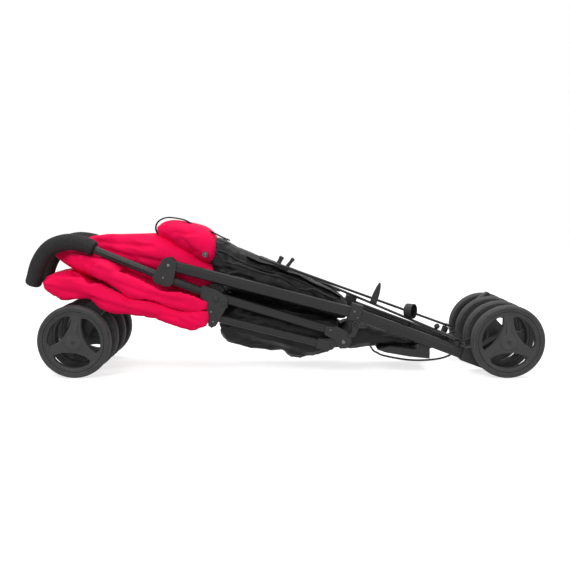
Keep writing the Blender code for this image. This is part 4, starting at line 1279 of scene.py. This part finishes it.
FABRICS = [
    FoldedCloth(
        "canopy_top_fold", "canopy_top_panel", Lay.FRAME,
        [Lobe([(-0.428, 0.2765), (-0.415, 0.2815), (-0.377, 0.2825), (-0.325, 0.2835), (-0.290, 0.2850),
               (-0.262, 0.2855), (-0.240, 0.2775), (-0.214, 0.2610), (-0.190, 0.2425), (-0.166, 0.2305),
               (-0.148, 0.2260), (-0.146, 0.182), (-0.165, 0.170), (-0.190, 0.174), (-0.222, 0.185),
               (-0.253, 0.199), (-0.307, 0.218), (-0.349, 0.234), (-0.371, 0.246), (-0.395, 0.2610),
               (-0.415, 0.2690)],
              ((-0.428, 0.020), (-0.400, 0.026), (-0.350, 0.044), (-0.300, 0.052), (-0.148, 0.056)))],
        "red_fabric", folds=[*CANOPY_FOLDS, *TOP_CREASES]),
    FoldedCloth(
        "canopy_rear_fold", "canopy_rear_panel", Lay.FRAME,
        [Lobe([(-0.494, 0.2490), (-0.484, 0.2570), (-0.455, 0.2560), (-0.435, 0.2540), (-0.410, 0.2460),
               (-0.380, 0.2330), (-0.326, 0.2120), (-0.253, 0.186), (-0.180, 0.158), (-0.166, 0.142),
               (-0.182, 0.128), (-0.212, 0.132), (-0.273, 0.147), (-0.330, 0.162), (-0.372, 0.185),
               (-0.4197, 0.2110), (-0.4673, 0.2310), (-0.4840, 0.2405)],
              ((-0.494, 0.024), (-0.465, 0.030), (-0.440, 0.040), (-0.380, 0.046), (-0.320, 0.056),
               (-0.166, 0.056))),
         Lobe([(-0.476, 0.2390), (-0.464, 0.2480), (-0.440, 0.2490), (-0.415, 0.2420), (-0.395, 0.2380),
               (-0.370, 0.2335), (-0.350, 0.2265), (-0.335, 0.2185), (-0.345, 0.203), (-0.365, 0.1995),
               (-0.395, 0.2045), (-0.420, 0.2115), (-0.445, 0.2200), (-0.466, 0.2290)],
              ((-0.476, 0.026), (-0.455, 0.042), (-0.430, 0.060), (-0.405, 0.078), (-0.380, 0.093),
               (-0.335, 0.095))),
         SidePanels([(-0.397, 0.226), (-0.385, 0.234), (-0.350, 0.2300), (-0.300, 0.2100), (-0.272, 0.1955),
                     (-0.250, 0.1840), (-0.225, 0.1810), (-0.200, 0.1735), (-0.170, 0.1600),
                     (-0.1640, 0.1500), (-0.1680, 0.1350), (-0.2025, 0.1330), (-0.2315, 0.1395),
                     (-0.2605, 0.1505), (-0.283, 0.1585), (-0.318, 0.1638), (-0.3355, 0.1750),
                     (-0.358, 0.189), (-0.383, 0.204), (-0.395, 0.215)])],
        "red_fabric", folds=[*CANOPY_FOLDS, *REAR_CREASES]),
    FoldedCloth(
        "canopy_front_fold", "canopy_front_panel", Lay.CANOPY,
        [Lobe([(-0.502, 0.190), (-0.494, 0.2015), (-0.466, 0.206), (-0.423, 0.204), (-0.374, 0.180),
               (-0.345, 0.165), (-0.322, 0.152), (-0.314, 0.142), (-0.318, 0.133), (-0.340, 0.127),
               (-0.368, 0.139), (-0.400, 0.156), (-0.446, 0.162), (-0.490, 0.172)],
              ((-0.502, 0.078), (-0.488, 0.090), (-0.440, 0.090), (-0.412, 0.054), (-0.314, 0.056))),
         SidePanels([(-0.494, 0.190), (-0.4894, 0.2000), (-0.4585, 0.2095), (-0.4176, 0.2120),
                     (-0.4050, 0.2085), (-0.3980, 0.2005), (-0.385, 0.2020), (-0.358, 0.191),
                     (-0.3355, 0.1805), (-0.318, 0.1700), (-0.283, 0.1652), (-0.2605, 0.1575),
                     (-0.2315, 0.1462), (-0.2025, 0.1392), (-0.171, 0.1395), (-0.1620, 0.1250),
                     (-0.1645, 0.110), (-0.172, 0.0995), (-0.198, 0.094), (-0.240, 0.105), (-0.270, 0.1155),
                     (-0.319, 0.124), (-0.354, 0.1285), (-0.383, 0.1385), (-0.403, 0.1535), (-0.4525, 0.1565),
                     (-0.467, 0.1635), (-0.489, 0.177)])],
        "red_fabric", folds=[*CANOPY_FOLDS, *FRONT_CREASES]),
    FoldedCloth(
        "seat_head_flap", "seat_back_head", Lay.FRAME,
        [Lobe([(-0.268, 0.2945), (-0.2665, 0.3085), (-0.252, 0.3160), (-0.236, 0.3175), (-0.199, 0.3105),
               (-0.169, 0.3025), (-0.150, 0.284), (-0.146, 0.258), (-0.147, 0.229), (-0.168, 0.231),
               (-0.193, 0.244), (-0.218, 0.260), (-0.246, 0.277), (-0.260, 0.284)],
              ((-0.268, 0.048), (-0.230, 0.058), (-0.146, 0.060)))],
        "red_fabric", cap=0.005, grow=0.03, folds=[Fold(0.034, 0.0014, -55, 0.7, 33), *HEAD_CREASES]),
    FoldedCloth(
        "seat_back_cloth", "seat_back", Lay.FRAME,
        [Lobe([(-0.144, 0.278), (-0.099, 0.254), (-0.048, 0.232), (0.011, 0.2100), (0.057, 0.1845),
               (0.112, 0.1585), (0.126, 0.143), (0.122, 0.112), (0.070, 0.124), (0.011, 0.137),
               (-0.049, 0.151), (-0.112, 0.171), (-0.145, 0.188)],
              ((-0.144, 0.058), (0.126, 0.056)))],
        folds=[*SEAT_FOLDS, *SEAT_CREASES]),
    FoldedCloth(
        "seat_pad_cloth", "seat_pad", Lay.FRAME,
        [Lobe([(-0.130, 0.146), (-0.108, 0.166), (-0.049, 0.150), (0.011, 0.136), (0.070, 0.122),
               (0.106, 0.107), (0.104, 0.070), (0.100, 0.044), (0.058, 0.031), (0.013, 0.027),
               (-0.004, 0.042), (-0.049, 0.045), (-0.096, 0.053), (-0.123, 0.064), (-0.134, 0.086)],
              ((-0.134, 0.052), (0.106, 0.055)))],
        folds=[*SEAT_FOLDS, *PAD_CREASES]),
    FoldedCloth(
        "basket_cloth", "parcel_basket", Lay.REAR,
        [Lobe([(0.124, 0.100), (0.163, 0.101), (0.191, 0.089), (0.234, 0.076), (0.283, 0.061), (0.286, 0.056),
               (0.245, 0.0580), (0.215, 0.0575), (0.170, 0.050), (0.140, 0.046), (0.122, 0.053),
               (0.118, 0.078)],
              ((0.118, 0.052), (0.286, 0.053)))],
        cap=0.004, voxel=0.0042, folds=[Fold(0.018, 0.0016, -16, 0.7, 41)]),
]


def build_fabrics(finishes: Finishes) -> dict[str, Piece]:
    """Makes every fabric piece, simulates them together and finishes each.

    Args:
        finishes: the materials.

    Returns:
        The pieces by name.
    """
    made = [(cloth, cloth.blank()) for cloth in FABRICS]
    simulate(made)
    for cloth, obj in made:
        cloth.finish(obj, finishes.canopy if cloth.slot == "red_fabric" else finishes.seat)
    return {cloth.name: obj for cloth, obj in made}


def rest_on(points: Array, cloth: Piece, lift: float, reach: float = 0.004, count: int = 60) -> Array:
    """Lays a curve through the points on a cloth: each station takes the height of the highest vertex within
    reach as seen from above, averaged over seven stations, and is then raised by lift.

    Args:
        points: rows of x, y and z, whose heights only serve where no cloth lies below.
        cloth: the finished fabric piece.
        lift: how far the curve runs above the cloth.
        reach: how near a vertex has to be.
        count: how many stations the curve has.

    Returns:
        The stations.
    """
    path = spline(points, count)
    ground = read_points(cloth)
    away = np.linalg.norm(path[:, None, :2] - ground[None, :, :2], axis=2)
    top = np.where(away < reach, ground[None, :, 2], -1.0).max(axis=1)
    height = np.where(top > 0, top, path[:, 2])
    even = np.convolve(np.pad(height, 3, mode="edge"), np.full(7, 1 / 7), mode="valid")
    return np.column_stack([path[:, :2], even + lift])


# Straps, trim and small fittings


@dataclass
class Trim:
    """Straps, piping and fittings that lie on the cloth or join its pieces."""

    finishes: Finishes
    fabrics: dict[str, Piece]

    def strip(self, name: str, points: Array, section: Array, material: Material,
              across: Array = UP_Y, count: int = 60) -> Piece:
        """A section carried along a smooth curve through points.

        Args:
            name: the piece's name.
            points: rows of x, y and z.
            section: rows of height and width.
            material: the finish.
            across: the direction of the section's width.
            count: how many stations the curve has.

        Returns:
            The piece.
        """
        path = spline(points, count)
        scale = np.ones(count)
        scale[[0, -1]] = 0.6
        return grid_piece(name, carried(path, section, scale, across), 50, material)

    def piping(self) -> None:
        """The doubled piping along both upper edges of the black seat back."""
        top = np.array([(-0.1445, 0.2795), (-0.099, 0.2555), (-0.048, 0.2335), (0.011, 0.2095),
                        (0.057, 0.1840), (0.110, 0.1590)])
        for side in Side:
            for number, (drop, y) in enumerate(((0.0005, 0.0475), (0.0062, 0.0552))):
                line = in_space(top - [0, drop], side.value * y)
                line = rest_on(line, self.fabrics["seat_back_cloth"], 0.0006, reach=0.0025)
                name = f"seat_piping_{side.label}_{number}"
                piece = self.strip(name, line, round_section(0.0017), self.finishes.piping)
                span(piece, Lay.FRAME)

    def head_loop(self) -> None:
        """The webbing loop that arches over the seat back's head, and the strap that runs on from it."""
        loop = [(-0.186, 0.2990), (-0.1906, 0.3060), (-0.2030, 0.3155), (-0.2200, 0.3222), (-0.2496, 0.3252),
                (-0.2688, 0.3159), (-0.2733, 0.2990), (-0.2610, 0.2799)]
        run = [(-0.2000, 0.3110), (-0.1800, 0.3055), (-0.1484, 0.2916), (-0.1320, 0.2832), (-0.1167, 0.2768)]
        for name, points in (("head_strap_loop", loop), ("head_strap_run", run)):
            piece = self.strip(name, in_space(np.array(points), -0.020), flat_section(0.0085, 0.0030),
                               self.finishes.webbing, count=80)
            span(piece, Lay.FRAME)

    def snap(self) -> None:
        """The snap on the head's side: a ring round a low dome, its profile turned about Y."""
        profile = np.array([(0.0001, 0.0016), (0.0020, 0.0013), (0.0030, 0.0004), (0.0036, 0.0004),
                            (0.0044, 0.0016), (0.0056, 0.0015), (0.0063, 0.0004), (0.0064, -0.0030)])
        for side in Side:
            centre = in_space(np.array([(-0.1655, 0.2500)]), side.value * 0.0593)[0]
            surface = turned(profile, centre, np.array([0.0, side.value, 0.0]), 40)
            piece = grid_piece(f"head_snap_{side.label}", surface, 40, self.finishes.snap)
            seat_on(piece, f"{side.label}_frame")

    def buckle(self) -> None:
        """The harness buckle: a flat body on the seat back and two prongs that stand up from it."""
        at_y, sunk = -0.030, 0.008
        line = in_space(np.array([(-0.022, 0.2260), (-0.008, 0.2210), (0.006, 0.2150)]), at_y)
        body = self.strip("buckle_body", line, flat_section(0.024, 0.009), self.finishes.bracket,
                          count=16)
        span(body, Lay.FRAME)
        for number, (x, z, lean, size, thick) in enumerate(
                ((-0.0145, 0.2275, 62, 0.018, 0.0110), (0.0040, 0.2215, 52, 0.023, 0.0085))):
            turn = math.radians(lean)
            way = np.array([math.cos(turn), 0.0, math.sin(turn)])
            start = in_space(np.array([(x, z)]), at_y)[0] - way * sunk
            share = np.linspace(0, 1, 12)[:, None]
            path = start + way * (size + sunk) * share
            scale = np.interp(share[:, 0], [0, 0.75, 0.9, 1.0], [1.0, 0.82, 1.05, 0.75])
            surface = carried(path, flat_section(0.0100, thick), scale)
            piece = grid_piece(f"buckle_prong_{number}", surface, 50, self.finishes.bracket)
            span(piece, Lay.FRAME)

    def harness(self) -> None:
        """Two harness straps that lie down the seat back's upper face."""
        top = np.array([(-0.080, 0.2475), (-0.010, 0.2195), (0.060, 0.1835), (0.121, 0.1480)])
        for number, y in enumerate((-0.034, 0.030)):
            line = rest_on(in_space(top, y), self.fabrics["seat_back_cloth"], 0.0003)
            piece = self.strip(f"harness_strap_{number}", line, flat_section(0.020, 0.0018),
                               self.finishes.webbing)
            span(piece, Lay.FRAME)

    def brace_fittings(self) -> None:
        """The moulded cup on the left brace and the knob below it, each a profile turned about an axis."""
        cup = np.array([(1e-4, -0.0090), (0.0140, -0.0090), (0.0158, -0.0075), (0.0158, 0.0090),
                        (0.0143, 0.0090), (0.0143, -0.0070), (1e-4, -0.0070)])
        turn = np.linspace(0.02, math.pi - 0.02, 13)
        knob = np.stack([np.sin(turn) * 0.0060, -np.cos(turn) * 0.0052], axis=1)
        for name, profile, at, y, axis in (("brace_cup", cup, (0.266, 0.1277), -0.034, (0.81, -0.59, 0.0)),
                                           ("brace_knob", knob, (0.3205, 0.0975), -0.050, (0.0, -1.0, 0.0))):
            surface = turned(profile, in_space(np.array([at]), y)[0], np.array(axis), 64)
            seat_on(grid_piece(name, surface, 35, self.finishes.bracket), "left_brace")

    def lever(self) -> None:
        """The pointed foot lever of the fold lock: a rounded section that narrows along a leaning line."""
        line = [(0.1905, 0.1425), (0.1945, 0.1550), (0.1990, 0.1680), (0.2045, 0.1855)]
        path = spline(in_space(np.array(line), -0.0097), 26)
        share = np.linspace(0, 1, 26)
        ahead = np.interp(share, [0, 0.45, 0.80, 0.95, 1], [0.0075, 0.0070, 0.0044, 0.0026, 0.0012])
        across = np.interp(share, [0, 0.80, 1], [0.0060, 0.0050, 0.0020])
        wide, tall = superellipse(full_turn(28), 3.0)
        surface = carried(path, np.stack([tall, wide], axis=1), np.stack([ahead, across], axis=1))
        piece = grid_piece("release_lever_blade", surface, 40, self.finishes.bracket)
        seat_on(piece, "lever", "release_lever")

    def basket_wire(self) -> None:
        """The sprung wire of the basket's mouth: a round section along the loop from leg to leg."""
        side = [(0.362, 0.0560), (0.352, 0.0400), (0.330, 0.0305), (0.297, 0.0262), (0.263, 0.0265),
                (0.232, 0.0310), (0.205, 0.0370), (0.193, 0.0430)]
        left = in_space(np.array(side), -0.056)
        path = np.vstack([left, left[::-1] * [1, -1, 1]])
        half = len(side)
        turn_in = np.array([path[half - 1] + [-0.006, 0.012, 0.002], path[half] + [-0.006, -0.012, 0.002]])
        path = np.vstack([path[:half], turn_in, path[half:]])
        piece = self.strip("basket_mouth_wire", path, round_section(0.0021, 12), self.finishes.wire,
                           np.array([0.02, 0.9, 0.3]), 140)
        span(piece, Lay.REAR, 0.035, "basket_wire")

    def cables(self) -> None:
        """The brake cable that runs from each rear leg to its wheels."""
        for side in Side:
            line = [(0.352, 0.0560), (0.372, 0.0640), (0.392, 0.0740), (0.405, 0.0800), (0.420, 0.0800)]
            ys = side.value * np.array([0.0580, 0.0545, 0.0535, 0.0560, 0.0600])
            piece = self.strip(f"brake_cable_{side.label}", in_space(np.array(line), ys),
                               round_section(0.0016, 10), self.finishes.wire)
            seat_on(piece, f"{side.label}_rear_leg")

    def build(self) -> None:
        """Makes every strap and fitting."""
        self.piping()
        self.head_loop()
        self.snap()
        self.buckle()
        self.harness()
        self.brace_fittings()
        self.lever()
        self.basket_wire()
        self.cables()


# Studio


@dataclass
class Studio:
    """A pale floor, soft lights and the camera at the photograph's angle."""

    focal_px: float = 730.0
    frame_px: float = 570.0
    sensor_mm: float = 36.0
    pitch_deg: float = 6.6
    camera_at: tuple[float, float, float] = (SHIFT_X, -1.570, 0.361)

    def camera(self) -> None:
        """The camera: its lens is the sensor's width times focal length over frame width, both in pixels."""
        data = bpy.data.cameras.new("camera")
        data.sensor_width = self.sensor_mm
        data.lens = self.sensor_mm * self.focal_px / self.frame_px
        obj = bpy.data.objects.new("camera", data)
        obj.location = self.camera_at
        obj.rotation_euler = (math.radians(90 - self.pitch_deg), 0, 0)
        bpy.context.scene.collection.objects.link(obj)
        bpy.context.scene.camera = obj

    @staticmethod
    def seen(tree: bpy.types.NodeTree) -> Socket:
        """1 where a camera, gloss or transmission ray meets the surface, 0 where bounced light does."""
        rays = tree.nodes.new("ShaderNodeLightPath")
        first = tree.nodes.new("ShaderNodeMath")
        first.operation = "MAXIMUM"
        tree.links.new(rays.outputs["Is Camera Ray"], first.inputs[0])
        tree.links.new(rays.outputs["Is Glossy Ray"], first.inputs[1])
        last = tree.nodes.new("ShaderNodeMath")
        last.operation = "MAXIMUM"
        tree.links.new(first.outputs[0], last.inputs[0])
        tree.links.new(rays.outputs["Is Transmission Ray"], last.inputs[1])
        return last.outputs[0]

    def world(self) -> None:
        """A world that looks white and lights the object with a plain grey."""
        world = bpy.data.worlds.new("studio")
        bpy.context.scene.world = world
        world.use_nodes = True
        tree = world.node_tree
        shown = tree.nodes["Background"]
        shown.inputs["Color"].default_value = (1, 1, 1, 1)
        strength = tree.nodes.new("ShaderNodeMapRange")
        strength.inputs["To Min"].default_value = 0.50
        strength.inputs["To Max"].default_value = 1.0
        tree.links.new(self.seen(tree), strength.inputs["Value"])
        tree.links.new(strength.outputs["Result"], shown.inputs["Strength"])

    def floor(self) -> None:
        """A wide pale floor that glows white to the camera, so no horizon shows, and takes the shadow."""
        verts = np.array([[-9, -9, 0], [9, -9, 0], [9, 9, 0], [-9, 9, 0]], float) + [0, 0, -0.0002]
        obj = mesh_piece("floor", verts, [[0, 1, 2, 3]])
        g = Graph("floor_white")
        g.level("Base Color", (0.55, 0.55, 0.55, 1))
        g.level("Roughness", 0.9)
        g.level("Specular IOR Level", 0.0)
        g.level("Emission Color", (1, 1, 1, 1))
        glow = g.add("ShaderNodeMapRange")
        glow.inputs["To Min"].default_value = 0.0
        glow.inputs["To Max"].default_value = 0.72
        g.link(self.seen(g.tree), glow.inputs["Value"])
        g.drive("Emission Strength", glow.outputs["Result"])
        obj.data.materials.append(g.material)

    def lamp(self, name: str, place: tuple, target: tuple, size: float, power: float) -> None:
        """A soft area lamp aimed at a point."""
        data = bpy.data.lights.new(name, "AREA")
        data.shape = "DISK"
        data.size = size
        data.energy = power
        obj = bpy.data.objects.new(name, data)
        obj.location = place
        obj.rotation_euler = (Vector(target) - Vector(place)).to_track_quat("-Z", "Y").to_euler()
        bpy.context.scene.collection.objects.link(obj)

    def build(self) -> None:
        """Sets the stage, the lamps and the camera."""
        self.camera()
        self.world()
        self.floor()
        self.lamp("key", (-0.9, -1.8, 2.0), (0, 0, 0.1), 1.4, 36)
        self.lamp("fill", (1.6, -1.8, 0.9), (0, 0, 0.1), 1.4, 9)
        self.lamp("top", (0.2, 0.5, 2.4), (0, 0, 0.1), 1.8, 34)
        bpy.context.scene.view_settings.view_transform = "Standard"


def main() -> None:
    """Builds the sub-assemblies in order."""
    logging.basicConfig(level=logging.INFO, format="%(message)s")
    Studio().build()
    finishes = Finishes()
    for side in Side:
        SideFrame(side).build(finishes)
        for end, turn in (("rear", 92.0), ("front", 82.0)):
            TwinWheel(end, side, "outer", turn).build(finishes)
            TwinWheel(end, side, "inner", turn + 25.0).build(finishes)
    build_castings(finishes)
    build_rivets(finishes)
    fabrics = build_fabrics(finishes)
    Trim(finishes, fabrics).build()


if __name__ == "__main__":
    main()
